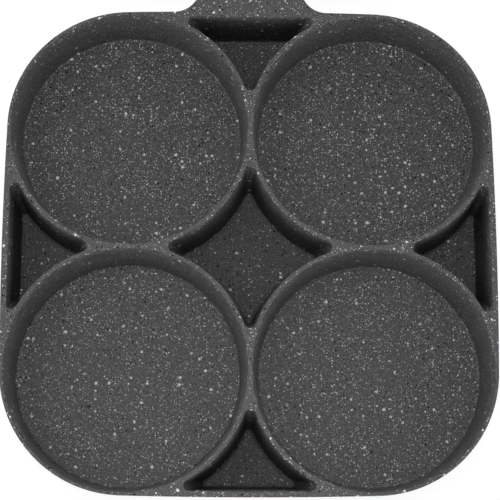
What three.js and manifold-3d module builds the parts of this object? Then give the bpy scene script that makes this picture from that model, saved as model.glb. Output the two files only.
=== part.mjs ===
// A four-cup egg pan: a die-cast body with four round cups, a steel base plate and a beech handle.
// Millimetres, +Z up. The origin is the centre of the face that the pan stands on, and the handle
// points along +Y.

import * as THREE from 'three';
import { mergeVertices } from 'three/addons/utils/BufferGeometryUtils.js';
import Module from 'manifold-3d';

const wasm = await Module();
wasm.setup();

const { Vector2, Vector3 } = THREE;
const { degToRad, lerp, smoothstep } = THREE.MathUtils;

// Clearance between pieces that slide, screw or press together
const FIT_GAP = 0.3;

// Cups and the rim around them, all measured in the plane of the rim
const CUP_MOUTH_RADIUS = 45.9;
const CUP_DEPTH = 23;
const CUP_DRAFT = degToRad(5);
const CUP_FLOOR_FILLET = 0.6;
const RIDGE_WIDTH = 2.6; // between neighbouring cups
const OUTER_LAND = 1.7; // between a cup and the outside
const SIDE_BOW = 0.6; // how far the middle of each side swells out past the corners
const RING_LAND = 2.6; // between a cup and a pocket
const POCKET_LAND = 2.7; // between a pocket and the outside
const RIM_ROUND = 0.7; // how far the rim's shoulder reaches out from a cup or pocket
const RIM_DROP = 8; // how far down the wall it reaches
const OUTER_ROUND = 0.5;

// Pockets: four three-cornered ones along the sides and one four-pointed one in the middle
const POCKET_DEPTH = 23;
const POCKET_DRAFT = degToRad(5);
const POCKET_FLOOR_FILLET = 1.2;
const POCKET_TIP_ROUND = 2;
const POCKET_CORNER_ROUND = 1.7;

// Underside of the casting
const FLOOR_THICKNESS = 3.6;
const OUTER_DRAFT = degToRad(3);
const BASE_ROUND = 3.5;

// Steel plate let into the base, locked by buttons of the casting that fill its holes
const PLATE_MARGIN = 14; // from the plate to the edge of the base
const PLATE_THICKNESS = 1.2;
const PLATE_PROUD = 0.3;
const PLATE_HOLE_RADIUS = 3.4;
const PLATE_RING_PITCH = 21; // between the circles that the holes lie on
const HOLES_ON_FIRST_RING = 6;

// Cast neck and lug that carry the handle
const NECK_WIDTH = 40.6;
const NECK_THICKNESS = 12;
const NECK_FLAT = 12;
const NECK_FILLET = 10;
const NECK_UNDER_FILLET = 4;
const NECK_EDGE_ROUND = 2;
const NECK_ROOT = 8; // how far the neck reaches into the pan's wall
const LUG_BEND_LENGTH = 23;
const HANDLE_TILT = degToRad(12);
const SHOULDER_WIDTH = 27;
const SHOULDER_HEIGHT = 19;
const SHOULDER_ROUND = 8;
const STUB_LENGTH = 20;

// Ferrule, gasket and thread insert
const FERRULE_LENGTH = 36;
const FERRULE_WALL = 0.9;
const GASKET_THICKNESS = 2;
const INSERT_RADIUS = 4.6;
const INSERT_LENGTH = 14;

// Beech grip, from front to rear
const GRIP_FRONT_LENGTH = 56;
const GRIP_SWELL_WIDTH = 32;
const GRIP_SWELL_HEIGHT = 23;
const GRIP_REAR_LENGTH = 44;
const GRIP_WAIST_WIDTH = 27;
const GRIP_WAIST_HEIGHT = 19.5;
const GRIP_POMMEL_LENGTH = 24;
const GRIP_POMMEL_WIDTH = 30;
const GRIP_POMMEL_HEIGHT = 22;
const GRIP_END_ROUND = 6;
const GRIP_ROUND_GAP = 1; // flat left between the rounded edges at the grip's sides

// Tie rod with its end cap, spring washer and eye
const ROD_RADIUS = 3;
const THREAD_ENGAGEMENT = 12;
const ROD_CHAMFER = 0.6;
const CAP_RADIUS = 7.5;
const CAP_EDGE = 0.9;
const CAP_DOME = 1.1;
const CAP_SEAT_DEPTH = 0.6;
const WASHER_WIDTH = 2.4;
const WASHER_THICKNESS = 1.4;
const WASHER_RISE = 0.8;
const WASHER_SPLIT = degToRad(14);
const WASHER_EDGE = 0.4;
const COLLAR_WIDTH = 2.6;
const COLLAR_THICKNESS = 2.4;
const EYE_HOLE_RADIUS = 4;

// Hanging ring
const RING_RADIUS = 14;
const RING_WIRE_RADIUS = 1.5;

// How finely round shapes are divided, and how far a cutting shape reaches past what it cuts
const CUP_SEGMENTS = 40;
const ROUND_SEGMENTS = 24;
const WIRE_SEGMENTS = 10;
const HOLE_SEGMENTS = 8;
const FILLET_STEPS = 3;
const RIM_STEPS = 2;
const SHOULDER_STEPS = 3;
const CORNER_STEPS = 4;
const ARC_STEPS = 6;
const SIDE_STEPS = 4;
const PAN_CORNER_STEPS = 11;
const STRETCH_STEPS = 5;
const CUT_MARGIN = 2;

// Sizes that follow from the ones above
const cupOffset = CUP_MOUTH_RADIUS + RIDGE_WIDTH / 2;
const panCorner = CUP_MOUTH_RADIUS + OUTER_LAND;
const panHalf = cupOffset + panCorner + SIDE_BOW;
const sideRadius = panCorner + (cupOffset ** 2 + SIDE_BOW ** 2) / (2 * SIDE_BOW);
const sideLean = Math.asin(cupOffset / (sideRadius - panCorner));
const neckSpread = NECK_WIDTH / 2 + NECK_FILLET;
const neckWall = panHalf - sideRadius + Math.sqrt(sideRadius ** 2 - neckSpread ** 2);
const ringRadius = CUP_MOUTH_RADIUS + RING_LAND;
const baseZ = PLATE_PROUD;
const rimZ = baseZ + FLOOR_THICKNESS + Math.max(CUP_DEPTH, POCKET_DEPTH);
const baseInset = (rimZ - baseZ) * Math.tan(OUTER_DRAFT);
const plateRadius = panHalf - baseInset - BASE_ROUND - PLATE_MARGIN;
const sleeveInset = FERRULE_WALL + FIT_GAP;
const boreRadius = ROD_RADIUS + FIT_GAP;
const tenonStart = STUB_LENGTH + FIT_GAP + GASKET_THICKNESS + FIT_GAP;
const gripStart = FERRULE_LENGTH + 2 * FIT_GAP;
const gripEnd = gripStart + GRIP_FRONT_LENGTH + GRIP_REAR_LENGTH + GRIP_POMMEL_LENGTH + GRIP_END_ROUND;
const capStart = gripEnd - CAP_SEAT_DEPTH + FIT_GAP;
const washerStart = capStart + CAP_EDGE + CAP_DOME + FIT_GAP;
const collarStart = washerStart + WASHER_THICKNESS + WASHER_RISE + FIT_GAP;
const eyeRadius = EYE_HOLE_RADIUS + ROD_RADIUS;
const eyeStart = collarStart + COLLAR_THICKNESS + eyeRadius + ROD_RADIUS / 2;
const bendRadius = LUG_BEND_LENGTH / HANDLE_TILT;

// Outlines and profiles

function arc(centre, radius, from, to, steps) {
  return Array.from({ length: steps + 1 }, (_, i) => {
    const angle = lerp(from, to, i / steps);
    return new Vector2(Math.cos(angle), Math.sin(angle)).multiplyScalar(radius).add(centre);
  });
}

// Arc that rounds the corner between two straight lines
function roundCorner(before, corner, after, radius, steps) {
  const toBefore = before.clone().sub(corner).normalize();
  const toAfter = after.clone().sub(corner).normalize();
  const half = toBefore.angleTo(toAfter) / 2;
  const reach = radius / Math.sin(half);
  const centre = toBefore.clone().add(toAfter).setLength(reach).add(corner);
  const tangent = radius / Math.tan(half);
  const start = toBefore.multiplyScalar(tangent).add(corner).sub(centre);
  const end = toAfter.multiplyScalar(tangent).add(corner).sub(centre);
  const sweep = Math.atan2(start.cross(end), start.dot(end));
  return arc(centre, radius, start.angle(), start.angle() + sweep, steps);
}

function roundedRectangle(width, height, radius, steps) {
  const x = width / 2 - radius;
  const y = height / 2 - radius;
  const quarter = Math.PI / 2;
  const centres = [new Vector2(x, y), new Vector2(-x, y), new Vector2(-x, -y), new Vector2(x, -y)];
  return centres.flatMap((centre, i) => arc(centre, radius, i * quarter, (i + 1) * quarter, steps));
}

// Curve that leaves one line and runs into the next, short of the corner where they meet
function shoulder(start, corner, end, steps) {
  return Array.from({ length: steps + 1 }, (_, i) => {
    const share = i / steps;
    const toEnd = corner.clone().lerp(end, share);
    return start.clone().lerp(corner, share).lerp(toEnd, share);
  });
}

// A quarter of an outline, repeated round the middle of the pan
function fourTimes(quarter) {
  const origin = new Vector2();
  return [0, 1, 2, 3].flatMap((turn) =>
    quarter.map((point) => point.clone().rotateAround(origin, (turn * Math.PI) / 2)),
  );
}

// Outer outline of the pan, drawn in by an inset: round corners joined by slightly bowed sides
function panOutline(inset) {
  const sideCentre = new Vector2(panHalf - sideRadius, 0);
  const cup = new Vector2(cupOffset, cupOffset);
  const side = arc(sideCentre, sideRadius - inset, -sideLean, sideLean, SIDE_STEPS);
  const corner = arc(cup, panCorner - inset, sideLean, Math.PI / 2 - sideLean, PAN_CORNER_STEPS);
  return fourTimes([...side, ...corner.slice(1, -1)]);
}

// Section through the lug, the ferrule and the front of the grip, drawn in by an inset
function sleeveOutline(inset) {
  const width = SHOULDER_WIDTH - 2 * inset;
  const height = SHOULDER_HEIGHT - 2 * inset;
  return roundedRectangle(width, height, SHOULDER_ROUND - inset, CORNER_STEPS);
}

// Wall of a cup or pocket as inset and height, from the floor over the rim's shoulder and past it
function cavityProfile(depth, draft, fillet) {
  const floorZ = rimZ - depth;
  const corner = new Vector2(depth * Math.tan(draft), floorZ);
  const mouth = new Vector2(0, rimZ);
  const onFloor = new Vector2(corner.x + fillet, floorZ);
  const onWall = mouth.clone().lerp(corner, RIM_DROP / depth);
  const onRim = new Vector2(-RIM_ROUND, rimZ);
  const wall = [
    ...roundCorner(onFloor, corner, mouth, fillet, FILLET_STEPS),
    ...shoulder(onWall, mouth, onRim, SHOULDER_STEPS),
  ];
  return [...wall, new Vector2(wall.at(-1).x, rimZ + CUT_MARGIN)];
}

// Round in a pocket's corner: the same all the way down its wall, and wider out on the rim's shoulder
function roundAt(radius, inset) {
  return radius - Math.min(inset, 0);
}

// Centre of the round that joins the walls of two neighbouring cups, measured from their ridge
function tipReach(ring, tip) {
  return Math.sqrt((ring + tip) ** 2 - cupOffset ** 2);
}

// Wall of a cup between two rounds, without the end points that the rounds already have
function ringArc(cup, ring, fromCentre, toCentre) {
  const from = fromCentre.clone().sub(cup).angle();
  const to = toCentre.clone().sub(cup).angle();
  return arc(cup, ring, from, to, ARC_STEPS).slice(1, -1);
}

// Pocket at the front of the pan, between two cups and the straight outer wall
function sidePocketOutline(inset) {
  const ring = ringRadius + inset;
  const corner = roundAt(POCKET_CORNER_ROUND, inset);
  const tip = roundAt(POCKET_TIP_ROUND, inset);
  const cup = new Vector2(cupOffset, -cupOffset);
  const cornerY = inset + corner - (panHalf - POCKET_LAND);
  const cornerX = cupOffset - Math.sqrt((ring + corner) ** 2 - (cornerY + cupOffset) ** 2);
  const cornerCentre = new Vector2(cornerX, cornerY);
  const tipCentre = new Vector2(0, -cupOffset - tipReach(ring, tip));
  const cornerEnd = cup.clone().sub(cornerCentre).angle();
  const tipStart = cup.clone().sub(tipCentre).angle();
  const right = [
    ...arc(cornerCentre, corner, -Math.PI / 2, cornerEnd, CORNER_STEPS),
    ...ringArc(cup, ring, cornerCentre, tipCentre),
    ...arc(tipCentre, tip, tipStart, Math.PI / 2, CORNER_STEPS),
  ];
  const left = right.slice(0, -1).reverse().map(({ x, y }) => new Vector2(-x, y));
  return [...right, ...left];
}

// Pocket in the middle, between all four cups
function middlePocketOutline(inset) {
  const ring = ringRadius + inset;
  const tip = roundAt(POCKET_TIP_ROUND, inset);
  const cup = new Vector2(cupOffset, cupOffset);
  const reach = cupOffset - tipReach(ring, tip);
  const sideTip = new Vector2(reach, 0);
  const backTip = new Vector2(0, reach);
  const quarter = [
    ...arc(sideTip, tip, 0, cup.clone().sub(sideTip).angle(), CORNER_STEPS),
    ...ringArc(cup, ring, sideTip, backTip),
    ...arc(backTip, tip, cup.clone().sub(backTip).angle(), Math.PI / 2, CORNER_STEPS),
  ];
  return fourTimes(quarter.slice(0, -1));
}

// Sections and lofts

// A level section at a height
function level(outline, z) {
  return { outline, points: outline.map(({ x, y }) => new Vector3(x, y, z)) };
}

// A section that stands across the YZ plane, tilted up from the +Y direction
function upright(outline, y, z, tilt) {
  const points = outline.map(
    (point) => new Vector3(-point.x, y - point.y * Math.sin(tilt), z + point.y * Math.cos(tilt)),
  );
  return { outline, points };
}

function capTriangles(outline) {
  return THREE.ShapeUtils.triangulateShape(outline, []).map(([a, b, c]) => {
    const turn = outline[b].clone().sub(outline[a]).cross(outline[c].clone().sub(outline[a]));
    return turn > 0 ? [a, b, c] : [a, c, b];
  });
}

// Skin through sections of equal point count, capped at both ends or joined into a ring
function loft(sections, ring = false) {
  const count = sections[0].points.length;
  const spans = ring ? sections.length : sections.length - 1;
  const index = [];
  for (let i = 0; i < spans; i++) {
    const low = i * count;
    const high = ((i + 1) % sections.length) * count;
    for (let j = 0; j < count; j++) {
      const next = (j + 1) % count;
      index.push(low + j, low + next, high + next, low + j, high + next, high + j);
    }
  }
  if (!ring) {
    const last = spans * count;
    capTriangles(sections[0].outline).forEach(([a, b, c]) => index.push(a, c, b));
    capTriangles(sections.at(-1).outline).forEach(([a, b, c]) => index.push(last + a, last + b, last + c));
  }
  const geometry = new THREE.BufferGeometry();
  geometry.setFromPoints(sections.flatMap(({ points }) => points));
  geometry.setIndex(index);
  return geometry;
}

// Body turned about Z from a profile of radius and height
function turned(profile, segments) {
  return new THREE.LatheGeometry(profile, segments).rotateX(Math.PI / 2);
}

function upCylinder(radius, from, to, segments) {
  const height = to - from;
  const geometry = new THREE.CylinderGeometry(radius, radius, height, segments);
  return geometry.rotateX(Math.PI / 2).translate(0, 0, from + height / 2);
}

// Joining and cutting

function solid(geometry) {
  const bare = geometry.clone();
  bare.deleteAttribute('normal');
  bare.deleteAttribute('uv');
  const merged = mergeVertices(bare);
  const mesh = new wasm.Mesh({
    numProp: 3,
    vertProperties: new Float32Array(merged.getAttribute('position').array),
    triVerts: new Uint32Array(merged.getIndex().array),
  });
  return new wasm.Manifold(mesh);
}

function geometryOf(manifold) {
  const mesh = manifold.getMesh();
  const geometry = new THREE.BufferGeometry();
  geometry.setAttribute('position', new THREE.BufferAttribute(new Float32Array(mesh.vertProperties), 3));
  geometry.setIndex(new THREE.BufferAttribute(new Uint32Array(mesh.triVerts), 1));
  return geometry;
}

// Pan body

function outerShell() {
  const base = new Vector2(baseInset, baseZ);
  const onBase = new Vector2(baseInset + BASE_ROUND, baseZ);
  const rim = new Vector2(0, rimZ);
  const onRim = new Vector2(OUTER_ROUND, rimZ);
  const wall = [
    ...roundCorner(onBase, base, rim, BASE_ROUND, FILLET_STEPS),
    ...roundCorner(base, rim, onRim, OUTER_ROUND, RIM_STEPS),
  ];
  return loft(wall.map(({ x, y }) => level(panOutline(x), y)));
}

function cupCutter() {
  const wall = cavityProfile(CUP_DEPTH, CUP_DRAFT, CUP_FLOOR_FILLET);
  const profile = wall.map(({ x, y }) => new Vector2(CUP_MOUTH_RADIUS - x, y));
  const top = rimZ + CUT_MARGIN;
  return turned([new Vector2(0, rimZ - CUP_DEPTH), ...profile, new Vector2(0, top)], CUP_SEGMENTS);
}

function pocketCutter(outline) {
  const wall = cavityProfile(POCKET_DEPTH, POCKET_DRAFT, POCKET_FLOOR_FILLET);
  return loft(wall.map(({ x, y }) => level(outline(x), y)));
}

// Flush neck that flares into the pan's wall, then bends up into the lug and its stub
function neckAndLug() {
  const sections = [];
  const addNeck = (y, flare, drop) => {
    const height = NECK_THICKNESS + drop;
    const outline = roundedRectangle(NECK_WIDTH + 2 * flare, height, NECK_EDGE_ROUND, CORNER_STEPS);
    sections.push(upright(outline, y, rimZ - height / 2, 0));
  };
  addNeck(neckWall - NECK_ROOT, NECK_FILLET, NECK_UNDER_FILLET);
  for (let i = 0; i <= CORNER_STEPS; i++) {
    const angle = ((i / CORNER_STEPS) * Math.PI) / 2;
    const left = 1 - Math.sin(angle);
    addNeck(neckWall + NECK_FILLET * (1 - Math.cos(angle)), NECK_FILLET * left, NECK_UNDER_FILLET * left);
  }
  addNeck(panHalf + NECK_FLAT, 0, 0);
  for (let i = 1; i <= STRETCH_STEPS; i++) {
    const share = smoothstep(i / STRETCH_STEPS, 0, 1);
    const tilt = (HANDLE_TILT * i) / STRETCH_STEPS;
    const width = lerp(NECK_WIDTH, SHOULDER_WIDTH, share);
    const height = lerp(NECK_THICKNESS, SHOULDER_HEIGHT, share);
    const round = lerp(NECK_EDGE_ROUND, SHOULDER_ROUND, share);
    const place = bendPoint(tilt);
    sections.push(upright(roundedRectangle(width, height, round, CORNER_STEPS), place.y, place.z, tilt));
  }
  const stubEnd = handlePoint(STUB_LENGTH);
  const shoulder = handlePoint(0);
  sections.push(upright(sleeveOutline(sleeveInset), shoulder.y, shoulder.z, HANDLE_TILT));
  sections.push(upright(sleeveOutline(sleeveInset), stubEnd.y, stubEnd.z, HANDLE_TILT));
  return loft(sections);
}

// Middle of the lug where its bend has reached a tilt
function bendPoint(tilt) {
  const y = panHalf + NECK_FLAT + bendRadius * Math.sin(tilt);
  const z = rimZ - NECK_THICKNESS / 2 + bendRadius * (1 - Math.cos(tilt));
  return new Vector3(0, y, z);
}

// Point on the handle's axis, measured from the lug's shoulder
function handlePoint(distance) {
  const along = new Vector3(0, Math.cos(HANDLE_TILT), Math.sin(HANDLE_TILT));
  return bendPoint(HANDLE_TILT).addScaledVector(along, distance);
}

// Turns a shape made along +Z into the handle's axis
function onHandle(geometry) {
  const place = bendPoint(HANDLE_TILT);
  return geometry.rotateX(HANDLE_TILT - Math.PI / 2).translate(0, place.y, place.z);
}

// Centres of the plate's holes, on circles that fill the plate from a bare middle
function holeCentres() {
  const centres = [];
  const reach = plateRadius - 2 * PLATE_HOLE_RADIUS;
  for (let ring = 1; ring * PLATE_RING_PITCH <= reach; ring++) {
    const count = ring * HOLES_ON_FIRST_RING;
    for (let i = 0; i < count; i++) {
      const angle = (i / count) * 2 * Math.PI;
      centres.push(new Vector2(Math.cos(angle), Math.sin(angle)).multiplyScalar(ring * PLATE_RING_PITCH));
    }
  }
  return centres;
}

// Recess for the plate, less the buttons that the casting leaves in its holes
function plateRecess() {
  const recess = upCylinder(plateRadius + FIT_GAP, -CUT_MARGIN, PLATE_THICKNESS, CUP_SEGMENTS);
  const buttonTop = PLATE_THICKNESS + CUT_MARGIN;
  return holeCentres().reduce((left, { x, y }) => {
    const button = upCylinder(PLATE_HOLE_RADIUS - FIT_GAP, baseZ, buttonTop, HOLE_SEGMENTS);
    return left.subtract(solid(button.translate(x, y, 0)));
  }, solid(recess));
}

// Bore in the end of the stub for the insert, with room behind it for the rod's end
function insertBore() {
  const start = STUB_LENGTH - INSERT_LENGTH - FIT_GAP;
  return onHandle(upCylinder(INSERT_RADIUS + FIT_GAP, start, STUB_LENGTH + CUT_MARGIN, ROUND_SEGMENTS));
}

function panBody() {
  let body = solid(outerShell()).add(solid(neckAndLug()));
  for (const x of [-cupOffset, cupOffset]) {
    for (const y of [-cupOffset, cupOffset]) {
      body = body.subtract(solid(cupCutter().translate(x, y, 0)));
    }
  }
  for (let turn = 0; turn < 4; turn++) {
    const pocket = pocketCutter(sidePocketOutline).rotateZ((turn * Math.PI) / 2);
    body = body.subtract(solid(pocket));
  }
  body = body.subtract(solid(pocketCutter(middlePocketOutline)));
  body = body.subtract(plateRecess());
  return geometryOf(body.subtract(solid(insertBore())));
}

// Base plate

function inductionPlate() {
  const disc = upCylinder(plateRadius, 0, PLATE_THICKNESS, CUP_SEGMENTS);
  const perforated = holeCentres().reduce((plate, { x, y }) => {
    const hole = upCylinder(PLATE_HOLE_RADIUS, -CUT_MARGIN, PLATE_THICKNESS + CUT_MARGIN, HOLE_SEGMENTS);
    return plate.subtract(solid(hole.translate(x, y, 0)));
  }, solid(disc));
  return geometryOf(perforated);
}

// Handle, made along +Z from the lug's shoulder

function threadInsert() {
  const start = STUB_LENGTH - INSERT_LENGTH;
  const profile = [
    new Vector2(boreRadius, start),
    new Vector2(INSERT_RADIUS, start),
    new Vector2(INSERT_RADIUS, STUB_LENGTH),
    new Vector2(boreRadius, STUB_LENGTH),
    new Vector2(boreRadius, start),
  ];
  return turned(profile, ROUND_SEGMENTS);
}

function heatGasket() {
  const shape = new THREE.Shape(sleeveOutline(sleeveInset));
  shape.holes.push(new THREE.Path().absarc(0, 0, boreRadius, 0, 2 * Math.PI, true));
  const options = { depth: GASKET_THICKNESS, bevelEnabled: false, curveSegments: ROUND_SEGMENTS / 2 };
  return new THREE.ExtrudeGeometry(shape, options).translate(0, 0, STUB_LENGTH + FIT_GAP);
}

function ferrule() {
  const end = FIT_GAP + FERRULE_LENGTH;
  const outer = sleeveOutline(0);
  const inner = sleeveOutline(FERRULE_WALL);
  return loft([level(outer, FIT_GAP), level(outer, end), level(inner, end), level(inner, FIT_GAP)], true);
}

function gripOutline(width, height, inset) {
  const round = height / 2 - GRIP_ROUND_GAP;
  return roundedRectangle(width - 2 * inset, height - 2 * inset, round - inset, CORNER_STEPS);
}

function handleGrip() {
  const sections = [
    level(sleeveOutline(sleeveInset), tenonStart),
    level(sleeveOutline(sleeveInset), gripStart),
    level(sleeveOutline(0), gripStart),
  ];
  let start = gripStart;
  let from = { width: SHOULDER_WIDTH, height: SHOULDER_HEIGHT };
  const stretches = [
    { length: GRIP_FRONT_LENGTH, width: GRIP_SWELL_WIDTH, height: GRIP_SWELL_HEIGHT },
    { length: GRIP_REAR_LENGTH, width: GRIP_WAIST_WIDTH, height: GRIP_WAIST_HEIGHT },
    { length: GRIP_POMMEL_LENGTH, width: GRIP_POMMEL_WIDTH, height: GRIP_POMMEL_HEIGHT },
  ];
  for (const to of stretches) {
    for (let i = 1; i <= STRETCH_STEPS; i++) {
      const share = smoothstep(i / STRETCH_STEPS, 0, 1);
      const width = lerp(from.width, to.width, share);
      const height = lerp(from.height, to.height, share);
      sections.push(level(gripOutline(width, height, 0), start + (to.length * i) / STRETCH_STEPS));
    }
    start += to.length;
    from = to;
  }
  for (let i = 1; i <= FILLET_STEPS; i++) {
    const angle = ((i / FILLET_STEPS) * Math.PI) / 2;
    const inset = GRIP_END_ROUND * (1 - Math.cos(angle));
    const height = start + GRIP_END_ROUND * Math.sin(angle);
    sections.push(level(gripOutline(from.width, from.height, inset), height));
  }
  const pastEnd = gripEnd + CUT_MARGIN;
  const bore = upCylinder(boreRadius, tenonStart - CUT_MARGIN, pastEnd, ROUND_SEGMENTS);
  const seat = upCylinder(CAP_RADIUS + FIT_GAP, gripEnd - CAP_SEAT_DEPTH, pastEnd, ROUND_SEGMENTS);
  return geometryOf(solid(loft(sections)).subtract(solid(bore)).subtract(solid(seat)));
}

function endCap() {
  const edge = capStart + CAP_EDGE;
  const profile = [
    new Vector2(boreRadius, capStart),
    new Vector2(CAP_RADIUS, capStart),
    new Vector2(CAP_RADIUS, edge),
    new Vector2(boreRadius + WASHER_WIDTH, edge + CAP_DOME),
    new Vector2(boreRadius, edge + CAP_DOME),
    new Vector2(boreRadius, capStart),
  ];
  return turned(profile, ROUND_SEGMENTS);
}

// One open turn of square wire that climbs by its rise
function springWasher() {
  const outline = roundedRectangle(WASHER_WIDTH, WASHER_THICKNESS, WASHER_EDGE, 1);
  const radius = boreRadius + WASHER_WIDTH / 2;
  const sections = Array.from({ length: ROUND_SEGMENTS + 1 }, (_, i) => {
    const share = i / ROUND_SEGMENTS;
    const angle = lerp(WASHER_SPLIT / 2, 2 * Math.PI - WASHER_SPLIT / 2, share);
    const middle = washerStart + WASHER_THICKNESS / 2 + WASHER_RISE * share;
    const points = outline.map(({ x, y }) => {
      const out = radius - x;
      return new Vector3(out * Math.cos(angle), out * Math.sin(angle), middle + y);
    });
    return { outline, points };
  });
  return loft(sections);
}

function tieRod() {
  const tip = STUB_LENGTH - THREAD_ENGAGEMENT;
  const collar = boreRadius + COLLAR_WIDTH;
  const collarEnd = collarStart + COLLAR_THICKNESS;
  const neck = eyeStart - eyeRadius;
  const profile = [
    new Vector2(0, tip),
    new Vector2(ROD_RADIUS - ROD_CHAMFER, tip),
    new Vector2(ROD_RADIUS, tip + ROD_CHAMFER),
    new Vector2(ROD_RADIUS, collarStart),
    new Vector2(collar, collarStart),
    new Vector2(collar, collarEnd),
    new Vector2(ROD_RADIUS, collarEnd),
    new Vector2(ROD_RADIUS, neck),
    new Vector2(0, neck),
  ];
  const eye = new THREE.TorusGeometry(eyeRadius, ROD_RADIUS, WIRE_SEGMENTS, ROUND_SEGMENTS);
  const placedEye = eye.rotateY(Math.PI / 2).translate(0, 0, eyeStart);
  return geometryOf(solid(turned(profile, ROUND_SEGMENTS)).add(solid(placedEye)));
}

function hangingRing() {
  const ring = new THREE.TorusGeometry(RING_RADIUS, RING_WIRE_RADIUS, WIRE_SEGMENTS, ROUND_SEGMENTS);
  return ring.rotateX(Math.PI / 2);
}

// Materials

const stoneCoat = new THREE.MeshStandardMaterial({ color: 0x4a4a4a, roughness: 0.55, metalness: 0.1 });
const ferriticSteel = new THREE.MeshStandardMaterial({ color: 0xb4b5b6, roughness: 0.35, metalness: 1 });
const stainless = new THREE.MeshStandardMaterial({ color: 0xc3c4c4, roughness: 0.25, metalness: 1 });
const zincSteel = new THREE.MeshStandardMaterial({ color: 0xa9adb0, roughness: 0.4, metalness: 1 });
const silicone = new THREE.MeshStandardMaterial({ color: 0x2b2b2c, roughness: 0.8, metalness: 0 });
const beech = new THREE.MeshStandardMaterial({ color: 0xc08a56, roughness: 0.5, metalness: 0 });

function piece(name, geometry, material) {
  const flat = geometry.index ? geometry.toNonIndexed() : geometry;
  flat.computeVertexNormals();
  const mesh = new THREE.Mesh(flat, material);
  mesh.name = name;
  return mesh;
}

// Assembly

const handle = new THREE.Group();
handle.position.copy(bendPoint(HANDLE_TILT));
handle.rotation.x = HANDLE_TILT - Math.PI / 2;
handle.add(
  piece('thread_insert', threadInsert(), zincSteel),
  piece('heat_gasket', heatGasket(), silicone),
  piece('ferrule', ferrule(), stainless),
  piece('handle_grip', handleGrip(), beech),
  piece('end_cap', endCap(), stainless),
  piece('spring_washer', springWasher(), zincSteel),
  piece('tie_rod', tieRod(), stainless),
);

// The ring hangs straight down, its wire resting in the bottom of the eye
const ring = piece('hanging_ring', hangingRing(), stainless);
const wireDrop = EYE_HOLE_RADIUS - RING_WIRE_RADIUS - FIT_GAP;
ring.position.copy(handlePoint(eyeStart));
ring.position.z -= wireDrop + RING_RADIUS;

const pan = new THREE.Group();
pan.add(
  piece('pan_body', panBody(), stoneCoat),
  piece('induction_plate', inductionPlate(), ferriticSteel),
  handle,
  ring,
);

export default pan;
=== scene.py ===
import math

import bmesh
import bpy
from bpy.props import FloatProperty, FloatVectorProperty, IntProperty, PointerProperty
from mathutils import Matrix, Vector


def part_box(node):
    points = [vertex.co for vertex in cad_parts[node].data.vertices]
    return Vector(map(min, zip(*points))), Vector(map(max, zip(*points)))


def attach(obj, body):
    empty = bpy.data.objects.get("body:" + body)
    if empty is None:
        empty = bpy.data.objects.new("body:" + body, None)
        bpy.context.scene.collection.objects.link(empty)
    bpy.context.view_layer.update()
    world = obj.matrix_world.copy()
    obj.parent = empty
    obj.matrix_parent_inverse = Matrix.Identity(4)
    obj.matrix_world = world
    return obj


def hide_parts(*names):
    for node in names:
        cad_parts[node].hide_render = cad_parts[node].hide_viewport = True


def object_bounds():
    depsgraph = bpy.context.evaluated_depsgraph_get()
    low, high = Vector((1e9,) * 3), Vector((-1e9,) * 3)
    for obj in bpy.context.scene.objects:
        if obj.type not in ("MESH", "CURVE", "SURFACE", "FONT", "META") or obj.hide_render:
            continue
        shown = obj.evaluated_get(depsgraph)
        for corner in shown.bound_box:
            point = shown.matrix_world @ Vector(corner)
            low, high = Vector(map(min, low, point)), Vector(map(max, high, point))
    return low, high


# A four-cup egg pan: cast pan with a flecked non-stick coat, pressed-in base plate, beech handle
# and hanging ring. Metres, +Z up, the handle along +Y, in the frame of the loaded model.

bl_info = {
    "name": "Four-Cup Egg Pan",
    "version": (1, 0, 0),
    "blender": (4, 5, 0),
    "location": "View3D > Sidebar > Egg Pan",
    "description": "Builds a divided egg pan with its handle, its hanging ring and a small studio",
    "category": "Add Mesh",
}

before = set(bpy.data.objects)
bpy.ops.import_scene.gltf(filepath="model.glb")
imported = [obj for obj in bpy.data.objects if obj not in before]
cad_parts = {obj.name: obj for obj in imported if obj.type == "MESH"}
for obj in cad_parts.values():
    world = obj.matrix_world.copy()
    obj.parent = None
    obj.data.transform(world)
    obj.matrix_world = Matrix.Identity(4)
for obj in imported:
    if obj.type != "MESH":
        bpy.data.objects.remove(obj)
CAD_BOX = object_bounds()
PLATE_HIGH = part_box("induction_plate")[1]
RING_LOW, RING_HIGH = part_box("hanging_ring")

MM = 0.001
PAN_BODY = "pan"
RING_BODY = "ring"

# Fits and hidden sizes that a user would leave alone
FIT_GAP = 0.3 * MM
CUT_MARGIN = 2 * MM
WASHER_EDGE = 0.2 * MM
EDGE_BREAK = 0.3 * MM  # small rounds on the edges of the metal fittings
NECK_SINK = 0.03 * MM  # keeps the neck's fillets off the pan's own wall
NECK_ROOT = 8 * MM
NECK_FLAT = 12 * MM
NECK_UNDER_FILLET = 4 * MM
NECK_EDGE_ROUND = 2 * MM
LUG_BEND_LENGTH = 23 * MM
STUB_LENGTH = 20 * MM
GASKET_THICKNESS = 2 * MM
INSERT_RADIUS = 4.6 * MM
INSERT_LENGTH = 14 * MM
THREAD_ENGAGEMENT = 12 * MM
GRIP_ROUND_GAP = 1 * MM
CAP_SEAT_DEPTH = 0.6 * MM

# How finely round shapes are divided
CUP_SEGMENTS = 176
ROUND_SEGMENTS = 72
WIRE_SEGMENTS = 28
HOLE_SEGMENTS = 32
PLATE_SEGMENTS = 160
CORNER_STEPS = 10
SIDE_STEPS = 24
PAN_CORNER_STEPS = 48
RING_ARC_STEPS = 40
FILLET_STEPS = 8
RIM_STEPS = 6
SHOULDER_STEPS = 9
LIP_STEPS = 4
WASHER_EDGE_STEPS = 3
WALL_STEPS = 4
STRETCH_STEPS = 20
SMOOTH_ANGLE = math.radians(32)
MERGE_DISTANCE = 0.002 * MM


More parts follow.
